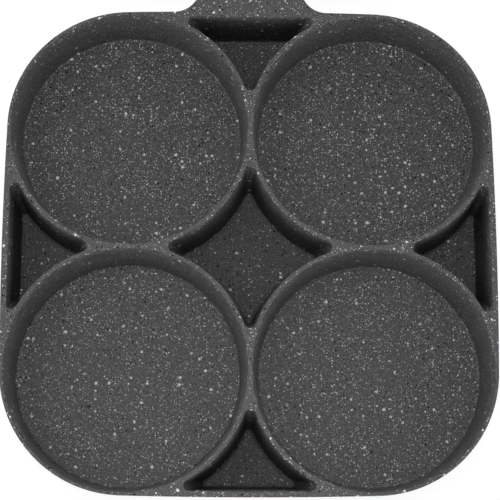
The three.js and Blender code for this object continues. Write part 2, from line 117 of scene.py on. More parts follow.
def linear(code):
    """Linear RGB of an sRGB hex colour."""
    channels = [int(code[i:i + 2], 16) / 255 for i in (1, 3, 5)]
    return tuple(c / 12.92 if c <= 0.04045 else ((c + 0.055) / 1.055) ** 2.4 for c in channels)


def length(name, description, metres):
    """A size that the user can set."""
    return FloatProperty(
        name=name, description=description, default=metres, min=0, unit="LENGTH", precision=5
    )


def slope(name, description, degrees):
    """An angle that the user can set."""
    angle = math.radians(degrees)
    return FloatProperty(name=name, description=description, default=angle, unit="ROTATION")


def number(name, description, value, unit="NONE"):
    """A plain number that the user can set."""
    return FloatProperty(name=name, description=description, default=value, unit=unit, precision=5)


def tally(name, description, copies):
    """A number of copies that the user can set."""
    return IntProperty(name=name, description=description, default=copies, min=1)


def colour(name, description, code):
    """A colour that the user can set, written as sRGB hex."""
    return FloatVectorProperty(
        name=name, description=description, default=linear(code), min=0, max=1, subtype="COLOR", size=3
    )


class PanSizes(bpy.types.PropertyGroup):
    """Sizes of the casting and its base plate, the cups and pockets measured in the plane of the rim."""

    cup_radius: length("Cup radius", "Inside radius of a cup at its mouth", 45.9 * MM)
    cup_depth: length("Cup depth", "From the rim to the floors of cups and pockets", 23 * MM)
    cup_draft: slope("Cup draft", "How far the walls of the cups lean outwards", 5)
    cup_fillet: length("Cup fillet", "Round between a cup's wall and floor", 0.6 * MM)
    floor_lip: length("Floor lip", "Step down from the fillet to each floor", 0.2 * MM)
    ridge_width: length("Ridge width", "Ridge between neighbouring cups", 2.6 * MM)
    outer_land: length("Outer land", "Rim between a cup and the outside", 1.7 * MM)
    side_bow: length("Side bow", "How far the middle of each side swells out past the corners", 0.6 * MM)
    ring_land: length("Ring land", "Ridge between a cup and a pocket", 2.6 * MM)
    pocket_land: length("Pocket land", "Rim between a pocket and the outside", 2.7 * MM)
    pocket_draft: slope("Pocket draft", "How far the walls of the pockets lean outwards", 5)
    pocket_fillet: length("Pocket fillet", "Round between a pocket's wall and floor", 1.2 * MM)
    pocket_tip: length("Pocket tip", "Round where the walls of two cups meet in a pocket", 2 * MM)
    pocket_corner: length("Pocket corner", "Round at the outer corners of a pocket", 1.7 * MM)
    rim_round: length("Rim round", "How far the rim's shoulder reaches out from a cup or pocket", 0.7 * MM)
    rim_drop: length("Rim drop", "How far down the wall the rim's shoulder reaches", 8 * MM)
    outer_round: length("Outer round", "Round along the outside of the rim and the neck", 0.5 * MM)
    floor_thickness: length("Floor thickness", "Metal under the cups", 3.6 * MM)
    outer_draft: slope("Outer draft", "How far the outer wall leans outwards", 3)
    base_round: length("Base round", "Round between the outer wall and the base", 3.5 * MM)
    plate_radius: length("Plate radius", "Radius of the steel plate in the base", PLATE_HIGH.x)
    plate_thickness: length("Plate thickness", "Sheet that the plate is cut from", PLATE_HIGH.z)
    plate_proud: length("Plate proud", "How far the plate stands out of the base", 0.3 * MM)
    hole_radius: length("Hole radius", "Holes in the plate, filled by buttons of the casting", 3.4 * MM)
    hole_pitch: length("Hole pitch", "Between the circles that the holes lie on", 21 * MM)
    first_holes: tally("First holes", "Holes on the innermost circle; later circles have a multiple", 6)
    hole_circles: tally("Hole circles", "Circles of holes in the plate", 3)


class HandleSizes(bpy.types.PropertyGroup):
    """Sizes of the neck, the grip, its fittings and the hanging ring."""

    neck_width: length("Neck width", "Flat neck that leaves the rim", 40.6 * MM)
    neck_thickness: length("Neck thickness", "Thickness of the flat neck", 12 * MM)
    neck_fillet: length("Neck fillet", "Round between the rim and the neck", 10 * MM)
    tilt: slope("Handle tilt", "How far the handle rises from level", 12)
    shoulder_width: length("Shoulder width", "Lug and ferrule across", 27 * MM)
    shoulder_height: length("Shoulder height", "Lug and ferrule from top to bottom", 19 * MM)
    shoulder_round: length("Shoulder round", "Corners of lug and ferrule", 8 * MM)
    ferrule_length: length("Ferrule length", "Steel sleeve at the front of the grip", 36 * MM)
    ferrule_wall: length("Ferrule wall", "Sheet that the sleeve is made of", 0.9 * MM)
    front_length: length("Front length", "Grip from the ferrule to its swell", 56 * MM)
    swell_width: length("Swell width", "Grip across at its swell", 32 * MM)
    swell_height: length("Swell height", "Grip from top to bottom at its swell", 23 * MM)
    rear_length: length("Rear length", "Grip from its swell to its waist", 44 * MM)
    waist_width: length("Waist width", "Grip across at its waist", 27 * MM)
    waist_height: length("Waist height", "Grip from top to bottom at its waist", 19.5 * MM)
    pommel_length: length("Pommel length", "Grip from its waist to its rounded end", 24 * MM)
    pommel_width: length("Pommel width", "Grip across at its end", 30 * MM)
    pommel_height: length("Pommel height", "Grip from top to bottom at its end", 22 * MM)
    end_round: length("End round", "Round at the end of the grip", 6 * MM)
    rod_radius: length("Rod radius", "Tie rod and its eye", 3 * MM)
    cap_radius: length("Cap radius", "Domed cap let into the end of the grip", 7.5 * MM)
    cap_edge: length("Cap edge", "Straight edge of the cap", 0.9 * MM)
    cap_dome: length("Cap dome", "Rise of the cap", 1.1 * MM)
    washer_width: length("Washer width", "Wire of the spring washer across", 2.4 * MM)
    washer_thickness: length("Washer thickness", "Wire of the spring washer", 1.4 * MM)
    washer_rise: length("Washer rise", "How far the open turn climbs", 0.8 * MM)
    washer_split: slope("Washer split", "Opening between the ends of the washer", 14)
    collar_width: length("Collar width", "How far the rod's collar stands out", 2.6 * MM)
    collar_thickness: length("Collar thickness", "Collar that clamps the washer", 2.4 * MM)
    eye_hole: length("Eye hole", "Inside radius of the rod's eye", 4 * MM)
    ring_wire: length("Ring wire", "Radius of the hanging ring's wire", RING_HIGH.y / 2 - RING_LOW.y / 2)
    ring_radius: length("Ring radius", "Hanging ring, outside", RING_HIGH.x)


class Finishes(bpy.types.PropertyGroup):
    """Colours of the pan's materials."""

    coat: colour("Coat", "Non-stick coat between the flecks", "#4c4c4c")
    coat_flecks: colour("Coat flecks", "Pale flecks in the coat", "#ececea")
    coat_specks: colour("Coat specks", "Dark specks in the coat", "#0c0c0c")
    beech_light: colour("Beech, early wood", "Pale part of each growth ring", "#c9986a")
    beech_dark: colour("Beech, late wood", "Dark part of each growth ring", "#a87345")
    beech_ray: colour("Beech rays", "Short dark rays along the grain", "#7d4d29")
    stainless: colour("Stainless steel", "Ferrule, cap, rod and ring", "#c8c6c2")
    ferritic: colour("Ferritic steel", "Plate in the base", "#b9b9b8")
    zinc: colour("Zinc plating", "Insert and washer", "#aab0b6")
    silicone: colour("Silicone", "Gasket in the ferrule", "#1e1e1f")
    paper: colour("Studio paper", "Floor under the pan", "#fafafa")


class StudioSizes(bpy.types.PropertyGroup):
    """Camera and lamps."""

    elevation: slope("Elevation", "Camera above the horizon", 78.268)
    yaw: slope("Yaw", "Camera round the pan", -6.887)
    roll: slope("Roll", "Camera about its own axis", 7.085)
    distance: length("Distance", "Camera from the middle of the rim", 601.17 * MM)
    lens: number("Lens", "Focal length in millimetres", 112.5)
    shift_x: number("Shift X", "Sideways shift of the frame", -0.00044)
    shift_y: number("Shift Y", "Upward shift of the frame", -0.00685)
    lamp_power: number("Lamp power", "Lamp above the pan", 4.05, "POWER")
    lamp_size: length("Lamp size", "Side of the square lamp", 0.45)
    lamp_height: length("Lamp height", "Lamp above the floor", 1.5)
    lamp_right: length("Lamp right", "Lamp to the right of the pan's middle", 0.01)
    lamp_back: length("Lamp back", "Lamp behind the pan's middle", 0.04)
    side_power: number("Side power", "Lamp to the left", 1.03, "POWER")
    side_size: length("Side size", "Side of the square lamp to the left", 0.4)
    side_distance: length("Side distance", "Lamp to the left, from the pan's middle", 1.0)
    side_elevation: slope("Side elevation", "Lamp to the left, above the horizon", 55)
    sky_low: number("Low sky", "Light from round the horizon", 3.75)
    sky_high: number("High sky", "Light from straight above", 0.265)


# Flat outlines

def mix(a, b, share):
    """Value between two others."""
    return a + (b - a) * share


def gentle(way):
    """Share of a change that starts and ends gently."""
    return way * way * (3 - 2 * way)


def quarter_turn(steps):
    """Angles of a quarter turn, both ends included."""
    return [math.pi / 2 * i / steps for i in range(steps + 1)]


def arc(centre, radius, start, end, steps):
    """Points along an arc, both ends included."""
    angles = [start + (end - start) * i / steps for i in range(steps + 1)]
    return [centre + radius * Vector((math.cos(a), math.sin(a))) for a in angles]


def heading(vector):
    """Angle of a flat vector."""
    return math.atan2(vector.y, vector.x)


def round_corner(before, corner, after, radius, steps):
    """Arc that rounds the corner between two straight lines."""
    to_before = (before - corner).normalized()
    to_after = (after - corner).normalized()
    half = to_before.angle(to_after) / 2
    centre = corner + (to_before + to_after).normalized() * (radius / math.sin(half))
    tangent = radius / math.tan(half)
    start = corner + to_before * tangent - centre
    end = corner + to_after * tangent - centre
    sweep = math.atan2(start.cross(end), start.dot(end))
    return arc(centre, radius, heading(start), heading(start) + sweep, steps)


def rounded_rectangle(width, height, radius, steps):
    """Rectangle with round corners, about the origin."""
    x = width / 2 - radius
    y = height / 2 - radius
    points = []
    for i, centre in enumerate(((x, y), (-x, y), (-x, -y), (x, -y))):
        points += arc(Vector(centre), radius, i * math.pi / 2, (i + 1) * math.pi / 2, steps)
    return points


def shoulder(start, corner, end, steps):
    """Soft curve that leaves one line and runs into the next, without their shared corner."""
    shares = [i / steps for i in range(steps + 1)]
    return [start.lerp(corner, t).lerp(corner.lerp(end, t), t) for t in shares]


def circle_like(outline, radius):
    """Circle whose points lie in the directions of an outline's points."""
    return [point.normalized() * radius for point in outline]


def cup_offset(pan):
    """Distance of each cup's axis from the pan's middle planes."""
    return pan.cup_radius + pan.ridge_width / 2


def pan_half(pan):
    """Half of the pan's width at the rim."""
    return cup_offset(pan) + pan.cup_radius + pan.outer_land + pan.side_bow


def side_radius(pan):
    """Radius of the bowed sides, which run smoothly into the round corners."""
    reach = (cup_offset(pan) ** 2 + pan.side_bow ** 2) / (2 * pan.side_bow)
    return pan.cup_radius + pan.outer_land + reach


def rim_height(pan):
    """Height of the plane of the rim."""
    return pan.plate_proud + pan.floor_thickness + pan.cup_depth


def four_times(quarter):
    """Quarter of an outline, repeated round the middle of the pan."""
    turns = [Matrix.Rotation(turn * math.pi / 2, 2) for turn in range(4)]
    return [turn @ point for turn in turns for point in quarter]


def pan_outline(pan, inset):
    """Outer outline of the pan, drawn in by an inset: round corners joined by slightly bowed sides."""
    offset = cup_offset(pan)
    radius = side_radius(pan)
    corner = pan.cup_radius + pan.outer_land
    lean = math.asin(offset / (radius - corner))
    side = arc(Vector((pan_half(pan) - radius, 0)), radius - inset, -lean, lean, SIDE_STEPS)
    bend = arc(Vector((offset, offset)), corner - inset, lean, math.pi / 2 - lean, PAN_CORNER_STEPS)
    return four_times(side + bend[1:-1])


def round_at(radius, inset):
    """Round in a pocket's corner: the same all the way down, and wider out on the rim's shoulder."""
    return radius - min(inset, 0)


def tip_reach(pan, ring, tip):
    """Centre of the round between two neighbouring cups, measured from their ridge."""
    return math.sqrt((ring + tip) ** 2 - cup_offset(pan) ** 2)


def ring_arc(cup, ring, first, last):
    """Wall of a cup between two rounds, without the end points that the rounds have."""
    return arc(cup, ring, heading(first - cup), heading(last - cup), RING_ARC_STEPS)[1:-1]


def side_pocket_outline(pan, inset):
    """Three-cornered pocket at the front, between two cups and the outer wall."""
    offset = cup_offset(pan)
    ring = pan.cup_radius + pan.ring_land + inset
    corner = round_at(pan.pocket_corner, inset)
    tip = round_at(pan.pocket_tip, inset)
    cup = Vector((offset, -offset))
    corner_y = inset + corner - (pan_half(pan) - pan.pocket_land)
    corner_x = offset - math.sqrt((ring + corner) ** 2 - (corner_y + offset) ** 2)
    corner_centre = Vector((corner_x, corner_y))
    tip_centre = Vector((0, -offset - tip_reach(pan, ring, tip)))
    right = arc(corner_centre, corner, -math.pi / 2, heading(cup - corner_centre), CORNER_STEPS)
    right += ring_arc(cup, ring, corner_centre, tip_centre)
    right += arc(tip_centre, tip, heading(cup - tip_centre), math.pi / 2, CORNER_STEPS)
    return right + [Vector((-point.x, point.y)) for point in reversed(right[:-1])]


def middle_pocket_outline(pan, inset):
    """Four-pointed pocket between all the cups."""
    offset = cup_offset(pan)
    ring = pan.cup_radius + pan.ring_land + inset
    tip = round_at(pan.pocket_tip, inset)
    cup = Vector((offset, offset))
    reach = offset - tip_reach(pan, ring, tip)
    side_tip = Vector((reach, 0))
    back_tip = Vector((0, reach))
    quarter = arc(side_tip, tip, 0, heading(cup - side_tip), CORNER_STEPS)
    quarter += ring_arc(cup, ring, side_tip, back_tip)
    quarter += arc(back_tip, tip, heading(cup - back_tip), math.pi / 2, CORNER_STEPS)
    return four_times(quarter[:-1])


def cavity_profile(pan, draft, fillet):
    """Wall of a cup or pocket as inset and height: floor lip, fillet, wall, rounded rim and past it."""
    rim = rim_height(pan)
    foot = rim - pan.cup_depth + pan.floor_lip
    corner = Vector(((rim - foot) * math.tan(draft), foot))
    mouth = Vector((0, rim))
    bend = round_corner(corner + Vector((fillet, 0)), corner, mouth, fillet, FILLET_STEPS)
    lip = arc(bend[0] - Vector((0, pan.floor_lip)), pan.floor_lip, 0, math.pi / 2, LIP_STEPS)
    low = mouth.lerp(corner, pan.rim_drop / (rim - foot))
    edge = shoulder(low, mouth, mouth - Vector((pan.rim_round, 0)), SHOULDER_STEPS)
    wall = [bend[-1].lerp(edge[0], i / WALL_STEPS) for i in range(1, WALL_STEPS)]
    return lip[:-1] + bend + wall + edge + [edge[-1] + Vector((0, CUT_MARGIN))]


# Meshes

def level(outline, height):
    """Outline laid flat at a height."""
    return [point.to_3d() + Vector((0, 0, height)) for point in outline]


def loft(bm, rings, joined=False):
    """Skin through rings of equal length, capped at both ends or joined round."""
    rows = [[bm.verts.new(point) for point in ring] for ring in rings]
    spans = list(zip(rows, rows[1:]))
    if joined:
        spans.append((rows[-1], rows[0]))
    for low, high in spans:
        for i in range(len(low)):
            j = (i + 1) % len(low)
            bm.faces.new((low[i], low[j], high[j], high[i]))
    if not joined:
        bm.faces.new(rows[0][::-1])
        bm.faces.new(rows[-1])


def lathe(bm, profile, segments, joined=False):
    """Body turned about Z from points of radius and height."""
    turns = [2 * math.pi * i / segments for i in range(segments)]
    rings = [[Vector((r * math.cos(a), r * math.sin(a), z)) for a in turns] for r, z in profile]
    loft(bm, rings, joined)


def torus(bm, radius, wire, segments):
    """Closed ring of wire about Z."""
    section = arc(Vector((0, 0)), wire, 0, 2 * math.pi, WIRE_SEGMENTS)
    profile = [(radius + point.x, point.y) for point in section[:-1]]
    lathe(bm, profile, segments, joined=True)


def new_object(name, bm, place=Matrix.Identity(4)):
    """Object from a mesh in the making, with doubles merged and its faces pointing out."""
    bmesh.ops.remove_doubles(bm, verts=bm.verts, dist=MERGE_DISTANCE)
    bmesh.ops.recalc_face_normals(bm, faces=bm.faces)
    bmesh.ops.transform(bm, matrix=place, verts=bm.verts)
    mesh = bpy.data.meshes.new(name)
    bm.to_mesh(mesh)
    bm.free()
    made = bpy.data.objects.new(name, mesh)
    bpy.context.scene.collection.objects.link(made)
    return made


def settle(made):
    """Puts the result of an object's modifiers into its mesh."""
    graph = bpy.context.evaluated_depsgraph_get()
    mesh = bpy.data.meshes.new_from_object(made.evaluated_get(graph))
    made.modifiers.clear()
    made.data = mesh


def combine(made, other, operation):
    """Joins or cuts an object by another, which is used up."""
    modifier = made.modifiers.new(operation, "BOOLEAN")
    modifier.operation = operation
    modifier.solver = "EXACT"
    modifier.object = other
    settle(made)
    bpy.data.objects.remove(other)


def smooth(made):
    """Smooth shading with hard edges kept, and wide flat faces left flat."""
    bm = bmesh.new()
    bm.from_mesh(made.data)
    bmesh.ops.remove_doubles(bm, verts=bm.verts, dist=MERGE_DISTANCE)
    bmesh.ops.dissolve_degenerate(bm, edges=bm.edges, dist=MERGE_DISTANCE)
    bm.to_mesh(made.data)
    bm.free()
    made.data.shade_smooth()
    made.data.set_sharp_from_angle(angle=SMOOTH_ANGLE)
    modifier = made.modifiers.new("Flat faces", "WEIGHTED_NORMAL")
    modifier.keep_sharp = True
    settle(made)


def set_inputs(node, inputs):
    """Gives a node's inputs their values, or links them to sockets or nodes, several where listed."""
    for key, given in inputs.items():
        for value in given if isinstance(given, list) else [given]:
            if isinstance(value, bpy.types.Node):
                value = next(socket for socket in value.outputs if socket.enabled)
            if isinstance(value, bpy.types.NodeSocket):
                node.id_data.links.new(value, node.inputs[key])
            else:
                node.inputs[key].default_value = value


def add_node(tree, kind, inputs=None, **settings):
    """Adds a node with its settings, and sets or links its inputs."""
    node = tree.nodes.new(kind)
    for name, value in settings.items():
        setattr(node, name, value)
    set_inputs(node, inputs or {})
    return node


def new_tree(name, sockets):
    """Geometry tree with named inputs; returns it with the sockets that give them."""
    tree = bpy.data.node_groups.new(name, "GeometryNodeTree")
    tree.interface.new_socket("Geometry", in_out="OUTPUT", socket_type="NodeSocketGeometry")
    for label, kind in sockets.items():
        tree.interface.new_socket(label, in_out="INPUT", socket_type="NodeSocket" + kind)
    return tree, tree.nodes.new("NodeGroupInput").outputs


def end_tree(tree, geometry, material):
    """Realizes the instances, sets the material and leaves the tree."""
    real = add_node(tree, "GeometryNodeRealizeInstances", {"Geometry": geometry})
    coated = add_node(tree, "GeometryNodeSetMaterial", {"Geometry": real, "Material": material})
    add_node(tree, "NodeGroupOutput", {"Geometry": coated})
    return tree


def grow(made, tree, values):
    """Runs a tree on an object and puts the result into its mesh."""
    modifier = made.modifiers.new(tree.name, "NODES")
    modifier.node_group = tree
    for item in tree.interface.items_tree:
        if item.in_out == "INPUT" and item.name in values:
            modifier[item.identifier] = values[item.name]
    settle(made)
    bpy.data.node_groups.remove(tree)
    return made


def repeat_round_tree():
    """Copies of a shape, turned evenly about Z."""
    tree, given = new_tree("Repeat round", {"Shape": "Geometry", "Copies": "Int", "Material": "Material"})
    one = add_node(tree, "GeometryNodeGeometryToInstance", {0: given["Shape"]})
    many = add_node(tree, "GeometryNodeDuplicateElements", {
        "Geometry": one, "Amount": given["Copies"],
    }, domain="INSTANCE")
    step = add_node(tree, "ShaderNodeMath", {0: 2 * math.pi, 1: given["Copies"]}, operation="DIVIDE")
    turn = add_node(tree, "ShaderNodeMath", {
        0: many.outputs["Duplicate Index"], 1: step,
    }, operation="MULTIPLY")
    angle = add_node(tree, "ShaderNodeCombineXYZ", {"Z": turn})
    turned = add_node(tree, "GeometryNodeRotateInstances", {"Instances": many, "Rotation": angle})
    return end_tree(tree, turned, given["Material"])


def perforated_disc_tree(circles):
    """Disc with holes on evenly spaced circles, each with a multiple of the first circle's holes."""
    sizes = {name: "Float" for name in ("Disc radius", "Hole radius", "Pitch", "Bottom", "Thickness")}
    tree, given = new_tree("Perforated disc", {**sizes, "First": "Int", "Material": "Material"})
    rounds = []
    for circle in range(1, circles + 1):
        copies = add_node(tree, "ShaderNodeMath", {0: given["First"], 1: circle}, operation="MULTIPLY")
        out = add_node(tree, "ShaderNodeMath", {0: given["Pitch"], 1: circle}, operation="MULTIPLY")
        rounds.append(add_node(tree, "GeometryNodeMeshCircle", {"Vertices": copies, "Radius": out}))
    places = add_node(tree, "GeometryNodeJoinGeometry", {0: rounds})
    hole = add_node(tree, "GeometryNodeCurvePrimitiveCircle", {
        "Resolution": HOLE_SEGMENTS, "Radius": given["Hole radius"],
    })
    holes = add_node(tree, "GeometryNodeInstanceOnPoints", {"Points": places, "Instance": hole})
    real = add_node(tree, "GeometryNodeRealizeInstances", {"Geometry": holes})
    edge = add_node(tree, "GeometryNodeCurvePrimitiveCircle", {
        "Resolution": PLATE_SEGMENTS, "Radius": given["Disc radius"],
    })
    outlines = add_node(tree, "GeometryNodeJoinGeometry", {0: [real, edge]})
    sheet = add_node(tree, "GeometryNodeFillCurve", {"Curve": outlines}, mode="NGONS")
    top = add_node(tree, "GeometryNodeExtrudeMesh", {
        "Mesh": sheet, "Offset": (0, 0, 1), "Offset Scale": given["Thickness"], "Individual": False,
    })
    under = add_node(tree, "GeometryNodeFlipFaces", {"Mesh": sheet})
    skin = add_node(tree, "GeometryNodeJoinGeometry", {0: [top, under]})
    closed = add_node(tree, "GeometryNodeMergeByDistance", {"Geometry": skin, "Distance": MERGE_DISTANCE})
    lift = add_node(tree, "ShaderNodeCombineXYZ", {"Z": given["Bottom"]})
    placed = add_node(tree, "GeometryNodeTransform", {"Geometry": closed, "Translation": lift})
    return end_tree(tree, placed, given["Material"])


def open_coil_tree():
    """Open turn of square wire with rounded edges, which climbs from zero by its rise."""
    sizes = {name: "Float" for name in ("Radius", "Width", "Thickness", "Rise", "Split", "Edge")}
    tree, given = new_tree("Open coil", {**sizes, "Material": "Material"})
    gap = add_node(tree, "ShaderNodeMath", {0: given["Split"], 1: -2 * math.pi}, operation="DIVIDE")
    turns = add_node(tree, "ShaderNodeMath", {0: gap, 1: 1.0}, operation="ADD")
    path = add_node(tree, "GeometryNodeCurveSpiral", {
        "Resolution": ROUND_SEGMENTS,
        "Rotations": turns,
        "Start Radius": given["Radius"],
        "End Radius": given["Radius"],
        "Height": given["Rise"],
    })
    upright = add_node(tree, "GeometryNodeSetCurveNormal", {"Curve": path}, mode="Z_UP")
    wire = add_node(tree, "GeometryNodeCurvePrimitiveQuadrilateral", {
        "Width": given["Width"], "Height": given["Thickness"],
    })
    eased = add_node(tree, "GeometryNodeFilletCurve", {
        "Curve": wire, "Count": WASHER_EDGE_STEPS, "Radius": given["Edge"],
    }, mode="POLY")
    swept = add_node(tree, "GeometryNodeCurveToMesh", {
        "Curve": upright, "Profile Curve": eased, "Fill Caps": True,
    })
    return end_tree(tree, swept, given["Material"])


# Materials

MIX_A, MIX_B = 6, 7  # colour inputs of a Mix node
WHITE = (1, 1, 1, 1)
NOISE_BAND = {"From Min": 0.3, "From Max": 0.7}  # nearly all values of a noise texture
NOISE_CORE = {"From Min": 0.35, "From Max": 0.65}  # its commonest values

# Layers of flecks in the coat: how far apart their places are, mean radius, share of the places that
# hold one, and strength of the faintest
DUST = {"spacing": 0.5 * MM, "radius": 0.15 * MM, "share": 0.4, "least": 0.85}
FLECKS = {"spacing": 1.05 * MM, "radius": 0.23 * MM, "share": 0.42, "least": 0.6}
CHIPS = {"spacing": 2.5 * MM, "radius": 0.5 * MM, "share": 0.32, "least": 0.55}
SPECKS = {"spacing": 1.6 * MM, "radius": 0.36 * MM, "share": 0.5, "least": 0.9}
FLECK_SPREAD = 0.45  # how far a fleck's radius strays from the mean
FLECK_CORE = 0.7  # share of the radius that is solid
FLECK_WAVE = 1.1 * MM  # waves that make the outlines of flecks ragged
FLECK_SWAY = 1 * MM  # how far these waves push
CLOUD_SIZE = 9 * MM  # clouds in which the dust settles
CLOUD_GAPS = 0.45  # how strong the dust is between them

# How the spray falls, with worn rims that carry a painted highlight, painted shade in the pockets and a
# painted highlight at the foot of each cup
COAT_MARKS = ("edge_wear_and_highlight", "pocket_shade", "foot_highlight")
RIM_WEAR_AND_SHINE = 0.5  # how strong the rim's mark is, wear with a painted highlight, where the pockets' painted shade reaches 1
POCKET_SHADE_DEPTH = 0.5  # share of the depth at which a pocket's painted shade is full
SPRAY_FACING = {"From Min": 0.1, "From Max": 0.7}  # from steep walls to flat floors
WALL_SPRAY = 0.5  # share of the spray that steep walls catch
FEWEST_FLECKS = 0.4  # share of the flecks left on the rims and where a pocket's painted shade is full
POCKET_DIM = 0.58  # painted shade: how much of its colour the coat on a pocket's walls loses
EDGE_LIFT = 0.028  # how far the rims go towards the flecks' colour, for wear and a painted highlight
FOOT_HIGHLIGHT = 0.025  # painted highlight: how far the line at the foot of a cup goes towards the flecks' colour
GRIT_SIZE = 0.42 * MM
GRIT_TONE = 0.9  # how far the grit's tone swings about the coat's colour
COAT_ROUGH = {"To Min": 0.35, "To Max": 0.45}
POCKET_ROUGH = 0.1  # roughness added deep in the pockets, where their painted shade is
COAT_RELIEF = {"Strength": 0.25, "Distance": 0.08 * MM}
COAT_IOR = 1.35

# Beech, with Z along the grain
HEART = (55 * MM, 30 * MM, 0)  # from the heart of the tree to the grip
RING_WIDTH = 2.4 * MM
LATE_WOOD = {"From Min": 0.25, "From Max": 0.95, "To Min": 0.0, "To Max": 0.75}
SWAY_SIZE = 18 * MM  # slow waves in the growth rings
SWAY_STRETCH = (1, 1, 0.15)
SWAY_REACH = (9 * MM, 9 * MM, 0)
FIBRE_SIZE = (0.35 * MM, 0.35 * MM, 14 * MM)
FIBRE_TONE = {"To Min": -0.2, "To Max": 0.25}
RAY_SIZE = (1.1 * MM, 1.1 * MM, 5 * MM)
RAY_DASH = {"From Min": 0.3, "From Max": 0.16, "To Min": 0.0, "To Max": 0.6}
BEECH_ROUGH = {"To Min": 0.36, "To Max": 0.56}
BEECH_RELIEF = {"Strength": 0.2, "Distance": 0.1 * MM}
BEECH_IOR = 1.5

# Brush and roll marks on metal, and the grain of moulded silicone
MARK_TONE = {"To Min": 0.88, "To Max": 1.06}
MARK_SHINE = 0.07  # roughness that the smoothest marks lose
MARK_DULL = 0.09  # roughness that the roughest marks gain
MARK_RELIEF = {"Strength": 0.15, "Distance": 0.02 * MM}
MOULD_GRAIN = 0.3 * MM
MOULD_TONE = {"To Min": 0.8, "To Max": 1.2}
MOULD_ROUGH = {"To Min": 0.6, "To Max": 0.8}
SILICONE_IOR = 1.41


def new_material(name):
    """Material with a bare tree; returns it, its tree, its shader and its object coordinates."""
    material = bpy.data.materials.new(name)
    material.use_nodes = True
    tree = material.node_tree
    shader = tree.nodes["Principled BSDF"]
    position = add_node(tree, "ShaderNodeTexCoord").outputs["Object"]
    return material, tree, shader, position


def with_alpha(rgb):
    """Colour as a node socket wants it."""
    return (*rgb, 1)


def repeats(sizes):
    """How often marks of the given sizes repeat along each axis."""
    return tuple(1 / size for size in sizes)


def fleck_layer(tree, position, reached, spacing, radius, share, least):
    """Mask of scattered flecks: a share of the cells holds one, each of its own size and strength.

    Reached tells how much of the spray arrives, and thins the flecks out.
    """
    cell = add_node(tree, "ShaderNodeTexVoronoi", {"Vector": position, "Scale": 1 / spacing})
    chance = add_node(tree, "ShaderNodeSeparateColor", {"Color": cell.outputs["Color"]}).outputs
    likely = add_node(tree, "ShaderNodeMath", {0: reached, 1: share}, operation="MULTIPLY")
    held = add_node(tree, "ShaderNodeMath", {0: chance[0], 1: likely}, operation="LESS_THAN")
    reach = add_node(tree, "ShaderNodeMapRange", {
        "Value": chance[1],
        "To Min": (1 - FLECK_SPREAD) * radius / spacing,
        "To Max": (1 + FLECK_SPREAD) * radius / spacing,
    })
    core = add_node(tree, "ShaderNodeMath", {0: reach, 1: FLECK_CORE}, operation="MULTIPLY")
    shape = add_node(tree, "ShaderNodeMapRange", {
        "Value": cell.outputs["Distance"], "From Min": reach, "From Max": core,
    })
    strength = add_node(tree, "ShaderNodeMapRange", {"Value": chance[2], "To Min": least, "To Max": 1.0})
    seen = add_node(tree, "ShaderNodeMath", {0: shape, 1: held}, operation="MULTIPLY")
    return add_node(tree, "ShaderNodeMath", {0: seen, 1: strength}, operation="MULTIPLY")


def ragged_places(tree, position):
    """Coordinates pushed about by fine waves, in which round flecks get ragged outlines."""
    wave = add_node(tree, "ShaderNodeTexNoise", {"Vector": position, "Scale": 1 / FLECK_WAVE, "Detail": 2.0})
    centred = add_node(tree, "ShaderNodeVectorMath", {
        0: wave.outputs["Color"], 1: (0.5, 0.5, 0.5),
    }, operation="SUBTRACT")
    return add_node(tree, "ShaderNodeVectorMath", {
        0: centred, 1: (FLECK_SWAY,) * 3, 2: position,
    }, operation="MULTIPLY_ADD")


def spray_reached(tree, facing, worn_and_shining, pocket_shade):
    """Share of the spray that arrives from above and stays; fewer flecks on the worn and highlighted rims and
    in the pockets' painted shade.
    """
    spray = add_node(tree, "ShaderNodeMapRange", {
        **SPRAY_FACING, "Value": facing, "To Min": WALL_SPRAY, "To Max": 1.0,
    })
    loss = add_node(tree, "ShaderNodeMath", {0: worn_and_shining, 1: pocket_shade}, operation="MAXIMUM")
    kept = add_node(tree, "ShaderNodeMapRange", {"Value": loss, "To Min": 1.0, "To Max": FEWEST_FLECKS})
    return add_node(tree, "ShaderNodeMath", {0: kept, 1: spray}, operation="MULTIPLY")


def pale_flecks(tree, position, ragged, reached):
    """Mask of all the pale flecks: dust that settles in clouds, flecks, and larger chips."""
    dust, flecks, chips = [fleck_layer(tree, ragged, reached, **layer) for layer in (DUST, FLECKS, CHIPS)]
    cloud = add_node(tree, "ShaderNodeTexNoise", {"Vector": position, "Scale": 1 / CLOUD_SIZE, "Detail": 2.0})
    drift = add_node(tree, "ShaderNodeMapRange", {
        **NOISE_CORE, "Value": cloud, "To Min": CLOUD_GAPS, "To Max": 1.0,
    })
    faint = add_node(tree, "ShaderNodeMath", {0: dust, 1: drift}, operation="MULTIPLY")
    large = add_node(tree, "ShaderNodeMath", {0: flecks, 1: chips}, operation="MAXIMUM")
    return add_node(tree, "ShaderNodeMath", {0: faint, 1: large}, operation="MAXIMUM")


